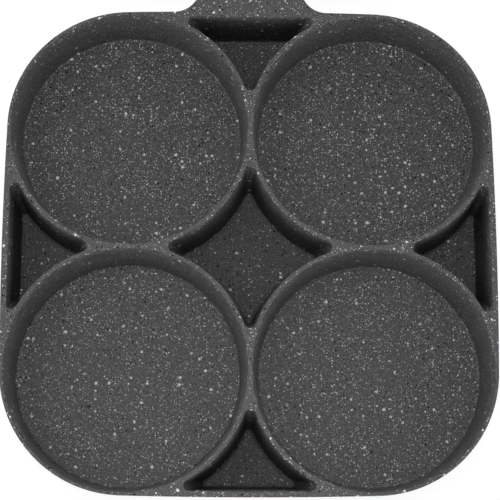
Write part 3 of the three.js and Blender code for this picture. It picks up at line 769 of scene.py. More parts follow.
def coat_ground(tree, finish, grit, facing, worn_and_shining, pocket_shade, foot):
    """Colour between the flecks: grainy, with painted shade on the walls of pockets, paler on the rims for
    wear and a painted highlight, and a painted highlight on foot lines.
    """
    shade = add_node(tree, "ShaderNodeMapRange", {
        **NOISE_BAND, "Value": grit, "To Min": 1 - GRIT_TONE, "To Max": 1 + GRIT_TONE,
    })
    # painted shade on the walls of the pockets, standing in for the shade deep inside them
    wall_shade = add_node(tree, "ShaderNodeMapRange", {"Value": facing, "To Min": POCKET_DIM, "To Max": 0.0})
    dimmed = add_node(tree, "ShaderNodeMath", {0: wall_shade, 1: pocket_shade}, operation="MULTIPLY")
    left = add_node(tree, "ShaderNodeMath", {0: 1.0, 1: dimmed}, operation="SUBTRACT")
    tone = add_node(tree, "ShaderNodeMath", {0: shade, 1: left}, operation="MULTIPLY")
    ground = add_node(tree, "ShaderNodeVectorMath", {0: tuple(finish.coat), "Scale": tone}, operation="SCALE")
    # paler rims for wear and a painted highlight, and a painted highlight on the line at each cup's foot
    edge = add_node(tree, "ShaderNodeMath", {0: worn_and_shining, 1: EDGE_LIFT}, operation="MULTIPLY")
    lift = add_node(tree, "ShaderNodeMath", {0: foot, 1: FOOT_HIGHLIGHT, 2: edge}, operation="MULTIPLY_ADD")
    return add_node(tree, "ShaderNodeMix", {
        0: lift, MIX_A: ground, MIX_B: with_alpha(finish.coat_flecks),
    }, data_type="RGBA")


def stone_coat(finish):
    """Sprayed non-stick coat on cast aluminium: satin dark grey with pale flecks and a few dark specks.

    The spray falls from above, so steep walls catch fewer flecks. The rims are paler with fewer flecks,
    partly from wear and partly as a painted highlight;
    the pockets hold painted shade, a darker coat with fewer flecks deeper down; a painted highlight runs
    along the foot of each cup.
    The grit under the coat leaves a fine grain in its colour and its gloss.
    """
    material, tree, shader, position = new_material("Sprayed stone-effect non-stick coat")
    # marks: rims with wear and a painted highlight, painted shade in the pockets, painted highlight at the
    # cups' feet
    marks = [add_node(tree, "ShaderNodeAttribute", attribute_name=name) for name in COAT_MARKS]
    worn_and_shining, pocket_shade, foot = [mark.outputs["Fac"] for mark in marks]
    normal = add_node(tree, "ShaderNodeNewGeometry").outputs["Normal"]
    facing = add_node(tree, "ShaderNodeSeparateXYZ", {0: normal}).outputs["Z"]
    ragged = ragged_places(tree, position)
    pale = pale_flecks(tree, position, ragged, spray_reached(tree, facing, worn_and_shining, pocket_shade))
    specks = fleck_layer(tree, ragged, 1.0, **SPECKS)
    grit = add_node(tree, "ShaderNodeTexNoise", {"Vector": position, "Scale": 1 / GRIT_SIZE, "Detail": 3.0})
    ground = coat_ground(tree, finish, grit, facing, worn_and_shining, pocket_shade, foot)
    speckled = add_node(tree, "ShaderNodeMix", {
        0: specks, MIX_A: ground, MIX_B: with_alpha(finish.coat_specks),
    }, data_type="RGBA")
    flecked = add_node(tree, "ShaderNodeMix", {
        0: pale, MIX_A: speckled, MIX_B: with_alpha(finish.coat_flecks),
    }, data_type="RGBA")
    gloss = add_node(tree, "ShaderNodeMapRange", {**NOISE_BAND, **COAT_ROUGH, "Value": grit})
    dulled = add_node(tree, "ShaderNodeMath", {
        0: pocket_shade, 1: POCKET_ROUGH, 2: gloss,
    }, operation="MULTIPLY_ADD")
    relief = add_node(tree, "ShaderNodeBump", {**COAT_RELIEF, "Height": grit})
    set_inputs(shader, {
        "Base Color": flecked, "Roughness": dulled, "Metallic": specks, "Normal": relief, "IOR": COAT_IOR,
    })
    return material


def along_handle(tree, position, handle, pan):
    """Object coordinates turned so that Z runs along the handle from the lug's shoulder."""
    place = handle_matrix(pan, handle).inverted()
    return add_node(tree, "ShaderNodeMapping", {
        "Vector": position, "Location": place.to_translation(), "Rotation": place.to_euler(),
    })


def growth_rings(tree, local):
    """Share of late wood in the growth rings, which sway a little along the grain."""
    heart = add_node(tree, "ShaderNodeVectorMath", {0: local, 1: HEART}, operation="ADD")
    drawn = add_node(tree, "ShaderNodeMapping", {"Vector": local, "Scale": SWAY_STRETCH})
    sway = add_node(tree, "ShaderNodeTexNoise", {"Vector": drawn, "Scale": 1 / SWAY_SIZE, "Detail": 2.0})
    bent = add_node(tree, "ShaderNodeVectorMath", {
        0: sway.outputs["Color"], 1: SWAY_REACH, 2: heart,
    }, operation="MULTIPLY_ADD")
    flat = add_node(tree, "ShaderNodeVectorMath", {0: bent, 1: (1, 1, 0)}, operation="MULTIPLY")
    radius = add_node(tree, "ShaderNodeVectorMath", {0: flat}, operation="LENGTH")
    rings = add_node(tree, "ShaderNodeMath", {0: radius, 1: RING_WIDTH}, operation="DIVIDE")
    season = add_node(tree, "ShaderNodeMath", {0: rings}, operation="FRACT")
    return add_node(tree, "ShaderNodeMapRange", {
        **LATE_WOOD, "Value": season,
    }, interpolation_type="SMOOTHSTEP")


def beech(finish, handle, pan):
    """Turned and oiled beech: fine growth rings, straight fibres and short dark rays.

    The rings are cut far from the heart of the tree, so they run nearly straight along the grip.
    """
    material, tree, shader, position = new_material("Oiled beech")
    local = along_handle(tree, position, handle, pan)
    strands = add_node(tree, "ShaderNodeMapping", {"Vector": local, "Scale": repeats(FIBRE_SIZE)})
    fibre = add_node(tree, "ShaderNodeTexNoise", {"Vector": strands, "Scale": 1.0, "Detail": 3.0})
    streak = add_node(tree, "ShaderNodeMapRange", {**NOISE_CORE, **FIBRE_TONE, "Value": fibre})
    tone = add_node(tree, "ShaderNodeMath", {
        0: growth_rings(tree, local), 1: streak,
    }, operation="ADD", use_clamp=True)
    wood = add_node(tree, "ShaderNodeMix", {
        0: tone, MIX_A: with_alpha(finish.beech_light), MIX_B: with_alpha(finish.beech_dark),
    }, data_type="RGBA")
    cells = add_node(tree, "ShaderNodeMapping", {"Vector": local, "Scale": repeats(RAY_SIZE)})
    ray = add_node(tree, "ShaderNodeTexVoronoi", {"Vector": cells, "Scale": 1.0})
    dash = add_node(tree, "ShaderNodeMapRange", {**RAY_DASH, "Value": ray.outputs["Distance"]})
    rayed = add_node(tree, "ShaderNodeMix", {
        0: dash, MIX_A: wood, MIX_B: with_alpha(finish.beech_ray),
    }, data_type="RGBA")
    gloss = add_node(tree, "ShaderNodeMapRange", {**BEECH_ROUGH, "Value": fibre})
    relief = add_node(tree, "ShaderNodeBump", {**BEECH_RELIEF, "Height": fibre})
    set_inputs(shader, {"Base Color": rayed, "Roughness": gloss, "Normal": relief, "IOR": BEECH_IOR})
    return material


def brushed(name, rgb, handle, pan, rough, marks):
    """Metal with fine brush or roll marks, whose sizes are given along each axis."""
    material, tree, shader, position = new_material(name)
    local = along_handle(tree, position, handle, pan)
    drawn = add_node(tree, "ShaderNodeMapping", {"Vector": local, "Scale": repeats(marks)})
    lines = add_node(tree, "ShaderNodeTexNoise", {"Vector": drawn, "Scale": 1.0, "Detail": 4.0})
    tone = add_node(tree, "ShaderNodeMapRange", {**NOISE_BAND, **MARK_TONE, "Value": lines})
    tint = add_node(tree, "ShaderNodeVectorMath", {0: tuple(rgb), "Scale": tone}, operation="SCALE")
    gloss = add_node(tree, "ShaderNodeMapRange", {
        **NOISE_BAND, "Value": lines, "To Min": rough - MARK_SHINE, "To Max": rough + MARK_DULL,
    })
    relief = add_node(tree, "ShaderNodeBump", {**MARK_RELIEF, "Height": lines})
    set_inputs(shader, {"Base Color": tint, "Roughness": gloss, "Normal": relief, "Metallic": 1})
    return material


def stainless(finish, handle, pan):
    """Drawn and brushed stainless steel: marks run round the sleeve, rod and ring."""
    marks = (3 * MM, 3 * MM, 0.12 * MM)
    return brushed("Brushed stainless steel", finish.stainless, handle, pan, rough=0.3, marks=marks)


def zinc_plate(finish, handle, pan):
    """Zinc-plated steel: cool grey with a soft cloudy bloom and no direction."""
    marks = (0.6 * MM, 0.6 * MM, 0.6 * MM)
    return brushed("Zinc-plated steel", finish.zinc, handle, pan, rough=0.42, marks=marks)


def ferritic_sheet(finish, handle, pan):
    """Rolled ferritic stainless sheet: faint straight roll marks."""
    marks = (0.2 * MM, 8 * MM, 8 * MM)
    return brushed("Rolled ferritic steel", finish.ferritic, handle, pan, rough=0.36, marks=marks)


def silicone(finish):
    """Moulded black silicone: dull, with a fine eroded grain from the mould."""
    material, tree, shader, position = new_material("Moulded silicone")
    pits = add_node(tree, "ShaderNodeTexNoise", {"Vector": position, "Scale": 1 / MOULD_GRAIN, "Detail": 2.0})
    shade = add_node(tree, "ShaderNodeMapRange", {**MOULD_TONE, "Value": pits})
    tint = add_node(tree, "ShaderNodeVectorMath", {
        0: tuple(finish.silicone), "Scale": shade,
    }, operation="SCALE")
    gloss = add_node(tree, "ShaderNodeMapRange", {**MOULD_ROUGH, "Value": pits})
    set_inputs(shader, {"Base Color": tint, "Roughness": gloss, "IOR": SILICONE_IOR})
    return material


shared_materials = {}


def shared(make, *settings):
    """Material made once and used by every piece of its kind."""
    if make not in shared_materials:
        shared_materials[make] = make(*settings)
    return shared_materials[make]


# Places along the handle

def bend_point(pan, handle, tilt):
    """Middle of the lug where its bend has reached a tilt."""
    radius = LUG_BEND_LENGTH / handle.tilt
    y = pan_half(pan) + NECK_FLAT + radius * math.sin(tilt)
    z = rim_height(pan) - handle.neck_thickness / 2 + radius * (1 - math.cos(tilt))
    return Vector((0, y, z))


def handle_point(pan, handle, distance):
    """Point on the handle's axis, measured from the lug's shoulder."""
    along = Vector((0, math.cos(handle.tilt), math.sin(handle.tilt)))
    return bend_point(pan, handle, handle.tilt) + along * distance


def handle_matrix(pan, handle):
    """Turns a shape made along +Z into the handle's axis."""
    shoulder = bend_point(pan, handle, handle.tilt)
    return Matrix.Translation(shoulder) @ Matrix.Rotation(handle.tilt - math.pi / 2, 4, "X")


def bore_radius(handle):
    """Bore that the tie rod runs through."""
    return handle.rod_radius + FIT_GAP


def sleeve_outline(handle, inset):
    """Section of the ferrule and of the front of the grip, drawn in by an inset."""
    width = handle.shoulder_width - 2 * inset
    height = handle.shoulder_height - 2 * inset
    return rounded_rectangle(width, height, handle.shoulder_round - inset, CORNER_STEPS)


def sleeve_inset(handle):
    """How far the stub and the tenon lie inside the ferrule."""
    return handle.ferrule_wall + FIT_GAP


def tenon_start():
    """Front face of the grip's tenon, behind the gasket."""
    return STUB_LENGTH + GASKET_THICKNESS + 2 * FIT_GAP


def grip_start(handle):
    """Where the grip comes out of the ferrule."""
    return handle.ferrule_length + 2 * FIT_GAP


def grip_end(handle):
    """Rear face of the grip."""
    stretches = handle.front_length + handle.rear_length + handle.pommel_length
    return grip_start(handle) + stretches + handle.end_round


def cap_start(handle):
    """Underside of the end cap in its seat."""
    return grip_end(handle) - CAP_SEAT_DEPTH + FIT_GAP


def washer_start(handle):
    """Underside of the spring washer."""
    return cap_start(handle) + handle.cap_edge + handle.cap_dome + FIT_GAP


def collar_start(handle):
    """Face of the rod's collar."""
    return washer_start(handle) + handle.washer_thickness + handle.washer_rise + FIT_GAP


def eye_radius(handle):
    """Middle line of the rod's eye."""
    return handle.eye_hole + handle.rod_radius


def eye_start(handle):
    """Centre of the rod's eye."""
    neck = handle.rod_radius / 2
    return collar_start(handle) + handle.collar_thickness + eye_radius(handle) + neck


# Casting

def outer_shell(pan):
    """Outside of the pan, before the neck is added and the cups are cut."""
    rim = rim_height(pan)
    base = Vector(((rim - pan.plate_proud) * math.tan(pan.outer_draft), pan.plate_proud))
    top = Vector((0, rim))
    inward = Vector((pan.base_round, 0))
    wall = round_corner(base + inward, base, top, pan.base_round, FILLET_STEPS)
    wall += round_corner(base, top, top + inward, pan.outer_round, RIM_STEPS)
    bm = bmesh.new()
    loft(bm, [level(pan_outline(pan, inset), height) for inset, height in wall])
    return new_object("shell", bm)


def side_profile(height, top_round, bottom_round, draft, steps=CORNER_STEPS):
    """One side of a section, as inset and depth from its rounded upper edge to its rounded lower one."""
    angles = quarter_turn(steps)
    points = [(top_round * (1 - math.sin(a)), top_round * (1 - math.cos(a))) for a in angles]
    for a in angles:
        points.append((bottom_round * (1 - math.cos(a)), height - bottom_round * (1 - math.sin(a))))
    return [(inset + depth * math.tan(draft), depth) for inset, depth in points]


def neck_section(profile, half, height, place, tilt=0.0, out=(1, 0)):
    """Section across the neck; out is the direction that its right side faces, seen from above."""
    right = []
    for inset, depth in profile:
        up = height / 2 - depth
        y = place.y - inset * out[1] - up * math.sin(tilt)
        right.append(Vector((half - inset * out[0], y, place.z + up * math.cos(tilt))))
    return right + [Vector((-point.x, point.y, point.z)) for point in reversed(right)]


def neck_sections(pan, handle):
    """Flat neck: flared at its sides and below where it leaves the pan's wall, then straight."""
    half = handle.neck_width / 2
    fillet = handle.neck_fillet
    radius = side_radius(pan)
    wall = pan_half(pan) - radius + math.sqrt(radius ** 2 - (half + fillet) ** 2) - NECK_SINK
    stations = [(wall - NECK_ROOT, 1, (0, 1))]
    for angle in quarter_turn(CORNER_STEPS):
        out = (math.sin(angle), math.cos(angle))
        stations.append((wall + fillet * (1 - out[1]), 1 - out[0], out))
    stations.append((pan_half(pan) + NECK_FLAT, 0, (1, 0)))
    sections = []
    for y, flare, out in stations:
        height = handle.neck_thickness + NECK_UNDER_FILLET * flare
        profile = side_profile(height, pan.outer_round, NECK_EDGE_ROUND, pan.outer_draft)
        place = Vector((0, y, rim_height(pan) - height / 2))
        sections.append(neck_section(profile, half + fillet * flare, height, place, out=out))
    return sections


def lug_sections(pan, handle):
    """Lug: bends up from the flat neck, and changes into the ferrule's section on the way."""
    sections = []
    for i in range(1, STRETCH_STEPS + 1):
        way = i / STRETCH_STEPS
        share = gentle(way)
        width = mix(handle.neck_width, handle.shoulder_width, share)
        height = mix(handle.neck_thickness, handle.shoulder_height, share)
        top_round = mix(pan.outer_round, handle.shoulder_round, share)
        bottom_round = mix(NECK_EDGE_ROUND, handle.shoulder_round, share)
        profile = side_profile(height, top_round, bottom_round, pan.outer_draft * (1 - share))
        tilt = handle.tilt * way
        place = bend_point(pan, handle, tilt)
        if i == STRETCH_STEPS:
            place = handle_point(pan, handle, -EDGE_BREAK)
        sections.append(neck_section(profile, width / 2, height, place, tilt))
    return sections


def stub_sections(pan, handle):
    """Broken edge of the lug's shoulder, then the stub that the ferrule slides on."""
    stations = []
    for angle in quarter_turn(RIM_STEPS)[1:]:
        stations.append((EDGE_BREAK * (math.sin(angle) - 1), EDGE_BREAK * (1 - math.cos(angle))))
    stations += [(distance, sleeve_inset(handle)) for distance in (0, STUB_LENGTH)]
    sections = []
    for distance, inset in stations:
        half = handle.shoulder_width / 2 - inset
        height = handle.shoulder_height - 2 * inset
        corner = handle.shoulder_round - inset
        profile = side_profile(height, corner, corner, 0)
        place = handle_point(pan, handle, distance)
        sections.append(neck_section(profile, half, height, place, handle.tilt))
    return sections


def neck_and_lug(pan, handle):
    """Flush neck that flares into the pan's wall, then bends up into the lug and its stub."""
    bm = bmesh.new()
    loft(bm, neck_sections(pan, handle) + lug_sections(pan, handle) + stub_sections(pan, handle))
    return new_object("neck", bm)


def cavities(pan, material):
    """Shapes of the air in cups and pockets: one cup and one side pocket, repeated four times round."""
    offset = cup_offset(pan)
    quarter = bmesh.new()
    cup = cavity_profile(pan, pan.cup_draft, pan.cup_fillet)
    lathe(quarter, [(pan.cup_radius - inset, height) for inset, height in cup], CUP_SEGMENTS)
    bmesh.ops.translate(quarter, verts=quarter.verts, vec=(offset, offset, 0))
    pocket = cavity_profile(pan, pan.pocket_draft, pan.pocket_fillet)
    loft(quarter, [level(side_pocket_outline(pan, inset), height) for inset, height in pocket])
    made = new_object("cavities", quarter)
    grow(made, repeat_round_tree(), {"Copies": 4, "Material": material})
    middle = bmesh.new()
    middle.from_mesh(made.data)
    loft(middle, [level(middle_pocket_outline(pan, inset), height) for inset, height in pocket])
    bmesh.ops.recalc_face_normals(middle, faces=middle.faces)
    middle.to_mesh(made.data)
    middle.free()
    return made


def perforated_disc(name, pan, gap, bottom, material):
    """Base plate, or with a gap the recess that it sits in."""
    made = new_object(name, bmesh.new())
    return grow(made, perforated_disc_tree(pan.hole_circles), {
        "Disc radius": pan.plate_radius + gap,
        "Hole radius": pan.hole_radius - gap,
        "Pitch": pan.hole_pitch,
        "Bottom": bottom,
        "Thickness": pan.plate_thickness - bottom,
        "First": pan.first_holes,
        "Material": material,
    })


def insert_bore(pan, handle):
    """Bore in the end of the stub, with room behind the insert for the rod's end."""
    start = STUB_LENGTH - INSERT_LENGTH - FIT_GAP
    radius = INSERT_RADIUS + FIT_GAP
    bm = bmesh.new()
    lathe(bm, [(radius, start), (radius, STUB_LENGTH + CUT_MARGIN)], ROUND_SEGMENTS)
    return new_object("bore", bm, handle_matrix(pan, handle))


def mark_coat(made, pan):
    """Marks the rims for wear and a painted highlight, the pockets for painted shade that deepens downwards,
    and the foot of each cup for a painted highlight.
    """
    rim = rim_height(pan)
    floor = rim - pan.cup_depth
    offset = cup_offset(pan)
    layers = [made.data.attributes.new(name, "FLOAT", "POINT") for name in COAT_MARKS]
    rim_wear_and_shine, pocket_shade, foot = [layer.data for layer in layers]
    for i, vertex in enumerate(made.data.vertices):
        x, y, z = vertex.co
        from_cup = math.hypot(abs(x) - offset, abs(y) - offset)
        in_pocket = from_cup > pan.cup_radius + pan.ring_land - MERGE_DISTANCE
        in_pocket = in_pocket and max(abs(x), abs(y)) < pan_half(pan) - pan.pocket_land + MERGE_DISTANCE
        # rims: wear and a painted highlight
        rim_wear_and_shine[i].value = RIM_WEAR_AND_SHINE * max(0.0, 1 - abs(rim - z) / pan.rim_round)
        # painted shade in the pockets, deeper downwards
        if in_pocket and z > floor - MERGE_DISTANCE:
            pocket_shade[i].value = min(1.0, max(0.0, (rim - z) / (POCKET_SHADE_DEPTH * pan.cup_depth)))
        # painted highlight along the foot of each cup
        if from_cup < pan.cup_radius and MERGE_DISTANCE < z - floor < pan.floor_lip + MERGE_DISTANCE:
            foot[i].value = 1.0


def place_piece(made, material, node, body=PAN_BODY):
    """Gives a finished piece its material, ties it to the body, and hides the part that it stands for."""
    made.data.materials.clear()
    made.data.materials.append(material)
    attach(made, body)
    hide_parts(node)


class PieceBuilder:
    """What the operators for the pieces share."""

    def execute(self, context):
        scene = context.scene
        self.build(scene.egg_pan_sizes, scene.egg_pan_handle, scene.egg_pan_finishes)
        return {"FINISHED"}


class EGGPAN_OT_casting(PieceBuilder, bpy.types.Operator):
    """Builds the cast pan with its cups, pockets, neck and lug"""

    bl_idname = "egg_pan.casting"
    bl_label = "Casting"

    def build(self, pan, handle, finish):
        coat = shared(stone_coat, finish)
        casting = outer_shell(pan)
        casting.name = "pan_casting"
        combine(casting, neck_and_lug(pan, handle), "UNION")
        combine(casting, cavities(pan, coat), "DIFFERENCE")
        combine(casting, perforated_disc("recess", pan, FIT_GAP, -CUT_MARGIN, coat), "DIFFERENCE")
        combine(casting, insert_bore(pan, handle), "DIFFERENCE")
        smooth(casting)
        mark_coat(casting, pan)
        place_piece(casting, coat, "pan_body")


class EGGPAN_OT_base_plate(PieceBuilder, bpy.types.Operator):
    """Builds the perforated steel plate in the base"""

    bl_idname = "egg_pan.base_plate"
    bl_label = "Base plate"

    def build(self, pan, handle, finish):
        steel = shared(ferritic_sheet, finish, handle, pan)
        plate = perforated_disc("base_plate", pan, 0.0, 0.0, steel)
        smooth(plate)
        place_piece(plate, steel, "induction_plate")


def ferrule_shell(pan, handle):
    """Thin sleeve with eased edges."""
    profile = side_profile(handle.ferrule_length, EDGE_BREAK, EDGE_BREAK, 0, RIM_STEPS)
    profile += [(handle.ferrule_wall, depth) for depth in (handle.ferrule_length, 0)]
    rings = [level(sleeve_outline(handle, inset), FIT_GAP + depth) for inset, depth in profile]
    bm = bmesh.new()
    loft(bm, rings, joined=True)
    return new_object("ferrule_sleeve", bm, handle_matrix(pan, handle))


class EGGPAN_OT_ferrule(PieceBuilder, bpy.types.Operator):
    """Builds the steel sleeve, and finishes the insert and the gasket inside it"""

    bl_idname = "egg_pan.ferrule"
    bl_label = "Ferrule and fittings"

    def build(self, pan, handle, finish):
        sleeve = ferrule_shell(pan, handle)
        smooth(sleeve)
        place_piece(sleeve, shared(stainless, finish, handle, pan), "ferrule")
        hidden = {
            "thread_insert": shared(zinc_plate, finish, handle, pan),
            "heat_gasket": shared(silicone, finish),
        }
        for node, material in hidden.items():
            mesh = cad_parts[node].data
            mesh.materials.clear()
            mesh.materials.append(material)


def grip_outline(width, height, inset):
    """Section of the grip, drawn in by an inset."""
    corner = height / 2 - GRIP_ROUND_GAP - inset
    return rounded_rectangle(width - 2 * inset, height - 2 * inset, corner, CORNER_STEPS)


def grip_rings(handle):
    """Sections of the grip from its tenon to its rear face, then back through the seat and the bore."""
    start = grip_start(handle)
    tenon = sleeve_outline(handle, sleeve_inset(handle))
    rings = [level(tenon, tenon_start()), level(tenon, start)]
    for angle in quarter_turn(RIM_STEPS):
        inset = EDGE_BREAK * (1 - math.sin(angle))
        rings.append(level(sleeve_outline(handle, inset), start + EDGE_BREAK * (1 - math.cos(angle))))
    width, height = handle.shoulder_width, handle.shoulder_height
    stretches = (
        (handle.front_length, handle.swell_width, handle.swell_height),
        (handle.rear_length, handle.waist_width, handle.waist_height),
        (handle.pommel_length, handle.pommel_width, handle.pommel_height),
    )
    for stretch, next_width, next_height in stretches:
        for i in range(1, STRETCH_STEPS + 1):
            way = i / STRETCH_STEPS
            share = gentle(way)
            outline = grip_outline(mix(width, next_width, share), mix(height, next_height, share), 0)
            rings.append(level(outline, start + stretch * way))
        start += stretch
        width, height = next_width, next_height
    for angle in quarter_turn(FILLET_STEPS)[1:]:
        outline = grip_outline(width, height, handle.end_round * (1 - math.cos(angle)))
        rings.append(level(outline, start + handle.end_round * math.sin(angle)))
    end = grip_end(handle)
    seat = circle_like(outline, handle.cap_radius + FIT_GAP)
    bore = circle_like(outline, bore_radius(handle))
    rings += [level(seat, end), level(seat, end - CAP_SEAT_DEPTH), level(bore, end - CAP_SEAT_DEPTH)]
    rings.append(level(bore, tenon_start()))
    return rings


class EGGPAN_OT_grip(PieceBuilder, bpy.types.Operator):
    """Builds the beech grip"""

    bl_idname = "egg_pan.grip"
    bl_label = "Grip"

    def build(self, pan, handle, finish):
        bm = bmesh.new()
        loft(bm, grip_rings(handle), joined=True)
        grip = new_object("beech_grip", bm, handle_matrix(pan, handle))
        smooth(grip)
        place_piece(grip, shared(beech, finish, handle, pan), "handle_grip")


def end_cap(pan, handle):
    """Domed washer in the end of the grip."""
    bore = bore_radius(handle)
    start = cap_start(handle)
    edge = start + handle.cap_edge
    crown = Vector((bore + handle.washer_width, edge + handle.cap_dome))
    side = Vector((handle.cap_radius, edge))
    profile = [Vector((bore, start)), Vector((handle.cap_radius, start))]
    profile += round_corner(Vector((handle.cap_radius, start)), side, crown, EDGE_BREAK, RIM_STEPS)
    profile += round_corner(side, crown, Vector((bore, crown.y)), handle.cap_dome, RIM_STEPS)
    profile.append(Vector((bore, crown.y)))
    bm = bmesh.new()
    lathe(bm, profile, ROUND_SEGMENTS, joined=True)
    return new_object("domed_cap", bm, handle_matrix(pan, handle))


def lock_washer(pan, handle, material):
    """Split washer under the rod's collar."""
    made = new_object("lock_washer", bmesh.new())
    grow(made, open_coil_tree(), {
        "Radius": bore_radius(handle) + handle.washer_width / 2,
        "Width": handle.washer_width,
        "Thickness": handle.washer_thickness,
        "Rise": handle.washer_rise,
        "Split": handle.washer_split,
        "Edge": WASHER_EDGE,
        "Material": material,
    })
    lift = Matrix.Translation((0, 0, washer_start(handle) + handle.washer_thickness / 2))
    turn = Matrix.Rotation(handle.washer_split / 2, 4, "Z")
    made.data.transform(handle_matrix(pan, handle) @ lift @ turn)
    return made


def eye_rod(pan, handle):
    """Long rod with a chamfered tip, a collar and a forged eye."""
    rod = handle.rod_radius
    tip = STUB_LENGTH - THREAD_ENGAGEMENT
    collar = bore_radius(handle) + handle.collar_width
    face = collar_start(handle)
    back = face + handle.collar_thickness
    middle = eye_start(handle) - eye_radius(handle)
    chamfer = 2 * EDGE_BREAK
    profile = [Vector((rod - chamfer, tip)), Vector((rod, tip + chamfer)), Vector((rod, face))]
    corners = [Vector((rod, face)), Vector((collar, face)), Vector((collar, back)), Vector((rod, back))]
    for before, corner, after in zip(corners, corners[1:], corners[2:]):
        profile += round_corner(before, corner, after, EDGE_BREAK, RIM_STEPS)
    profile += [Vector((rod, back)), Vector((rod, middle))]
    bm = bmesh.new()
    lathe(bm, profile, ROUND_SEGMENTS)
    made = new_object("eye_rod", bm, handle_matrix(pan, handle))
    loop = bmesh.new()
    torus(loop, eye_radius(handle), rod, ROUND_SEGMENTS)
    upright = Matrix.Translation((0, 0, eye_start(handle))) @ Matrix.Rotation(math.pi / 2, 4, "Y")
    combine(made, new_object("eye", loop, handle_matrix(pan, handle) @ upright), "UNION")
    return made


class EGGPAN_OT_rod(PieceBuilder, bpy.types.Operator):
    """Builds the tie rod with its cap and its spring washer"""

    bl_idname = "egg_pan.rod"
    bl_label = "Rod, cap and washer"

    def build(self, pan, handle, finish):
        steel = shared(stainless, finish, handle, pan)
        zinc = shared(zinc_plate, finish, handle, pan)
        cap = end_cap(pan, handle)
        washer = lock_washer(pan, handle, zinc)
        rod = eye_rod(pan, handle)
        for made in (cap, washer, rod):
            smooth(made)
        place_piece(cap, steel, "end_cap")
        place_piece(washer, zinc, "spring_washer")
        place_piece(rod, steel, "tie_rod")


class EGGPAN_OT_hanging_ring(PieceBuilder, bpy.types.Operator):
    """Builds the wire ring that swings in the rod's eye"""

    bl_idname = "egg_pan.hanging_ring"
    bl_label = "Hanging ring"

    def build(self, pan, handle, finish):
        bm = bmesh.new()
        torus(bm, handle.ring_radius - handle.ring_wire, handle.ring_wire, 2 * ROUND_SEGMENTS)
        centre = (RING_LOW + RING_HIGH) / 2
        upright = Matrix.Translation(centre) @ Matrix.Rotation(math.pi / 2, 4, "X")
        ring = new_object("swing_ring", bm, upright)
        smooth(ring)
        steel = shared(stainless, finish, handle, pan)
        place_piece(ring, steel, "hanging_ring", RING_BODY)


# Studio

FLOOR_SIDE = 8.0
FLOOR_GAP = 0.05 * MM
PAPER_GLOW = 0.85  # share of the white that doesn't darken in the pan's shadow
PAPER_SHADE = 0.25  # share that does
PAPER_TOOTH = 2 * MM
PAPER_RELIEF = {"Strength": 0.02, "Distance": 0.1 * MM}
PAPER_ROUGH = 0.9
SKY_FALL = 3  # how quickly the light falls off from the horizon upwards
CAMERA_NEAR = 10 * MM


def studio_paper(finish):
    """White paper sweep: seen directly, most of its white is its own; the rest takes the pan's shadow."""
    material, tree, shader, position = new_material("Studio paper")
    tooth = add_node(tree, "ShaderNodeTexNoise", {
        "Vector": position, "Scale": 1 / PAPER_TOOTH, "Detail": 2.0,
    })
    relief = add_node(tree, "ShaderNodeBump", {**PAPER_RELIEF, "Height": tooth})
    path = add_node(tree, "ShaderNodeLightPath").outputs
    sharp = add_node(tree, "ShaderNodeMath", {
        0: path["Is Glossy Ray"], 1: path["Is Transmission Ray"],
    }, operation="ADD")
    seen = add_node(tree, "ShaderNodeMath", {
        0: path["Is Camera Ray"], 1: sharp,
    }, operation="ADD", use_clamp=True)
    tint = add_node(tree, "ShaderNodeMix", {
        0: seen, MIX_A: with_alpha(finish.paper), MIX_B: with_alpha((PAPER_SHADE,) * 3),
    }, data_type="RGBA")
    glow = add_node(tree, "ShaderNodeMath", {0: seen, 1: PAPER_GLOW}, operation="MULTIPLY")
    set_inputs(shader, {
        "Base Color": tint, "Emission Strength": glow, "Normal": relief,
        "Emission Color": WHITE, "Roughness": PAPER_ROUGH, "Specular IOR Level": 0.0,
    })
    return material


def studio_world(scene, studio):
    """Pale light all round, as from white walls: strong near the horizon, weak from above."""
    world = bpy.data.worlds.new("Studio")
    world.use_nodes = True
    tree = world.node_tree
    direction = add_node(tree, "ShaderNodeTexCoord").outputs["Generated"]
    height = add_node(tree, "ShaderNodeSeparateXYZ", {0: direction}).outputs["Z"]
    low = add_node(tree, "ShaderNodeMath", {0: 1.0, 1: height}, operation="SUBTRACT", use_clamp=True)
    fall = add_node(tree, "ShaderNodeMath", {0: low, 1: SKY_FALL}, operation="POWER")
    strength = add_node(tree, "ShaderNodeMapRange", {
        "Value": fall, "To Min": studio.sky_high, "To Max": studio.sky_low,
    })
    set_inputs(tree.nodes["Background"], {"Color": WHITE, "Strength": strength})
    scene.world = world


def seen_from(elevation, yaw):
    """Direction from the pan to something that looks at it."""
    level_part = math.cos(elevation)
    return Vector((math.sin(yaw) * level_part, -math.cos(yaw) * level_part, math.sin(elevation)))


def square_lamp(scene, name, power, side, place):
    """Lamp that faces the middle of the pan's base."""
    lamp = bpy.data.lights.new(name, "AREA")
    lamp.shape = "SQUARE"
    lamp.size = side
    lamp.energy = power
    made = bpy.data.objects.new(name, lamp)
    turn = place.to_track_quat("Z", "Y").to_matrix().to_4x4()
    made.matrix_world = Matrix.Translation(place) @ turn
    scene.collection.objects.link(made)


def studio_lamps(scene, studio):
    """Lamp above the pan for a sheen on floors and rims, and a weaker one on the left to shade the cups."""
    above = Vector((studio.lamp_right, studio.lamp_back, studio.lamp_height))
    left = Vector((-math.cos(studio.side_elevation), 0, math.sin(studio.side_elevation)))
    square_lamp(scene, "Overhead lamp", studio.lamp_power, studio.lamp_size, above)
    square_lamp(scene, "Side lamp", studio.side_power, studio.side_size, left * studio.side_distance)


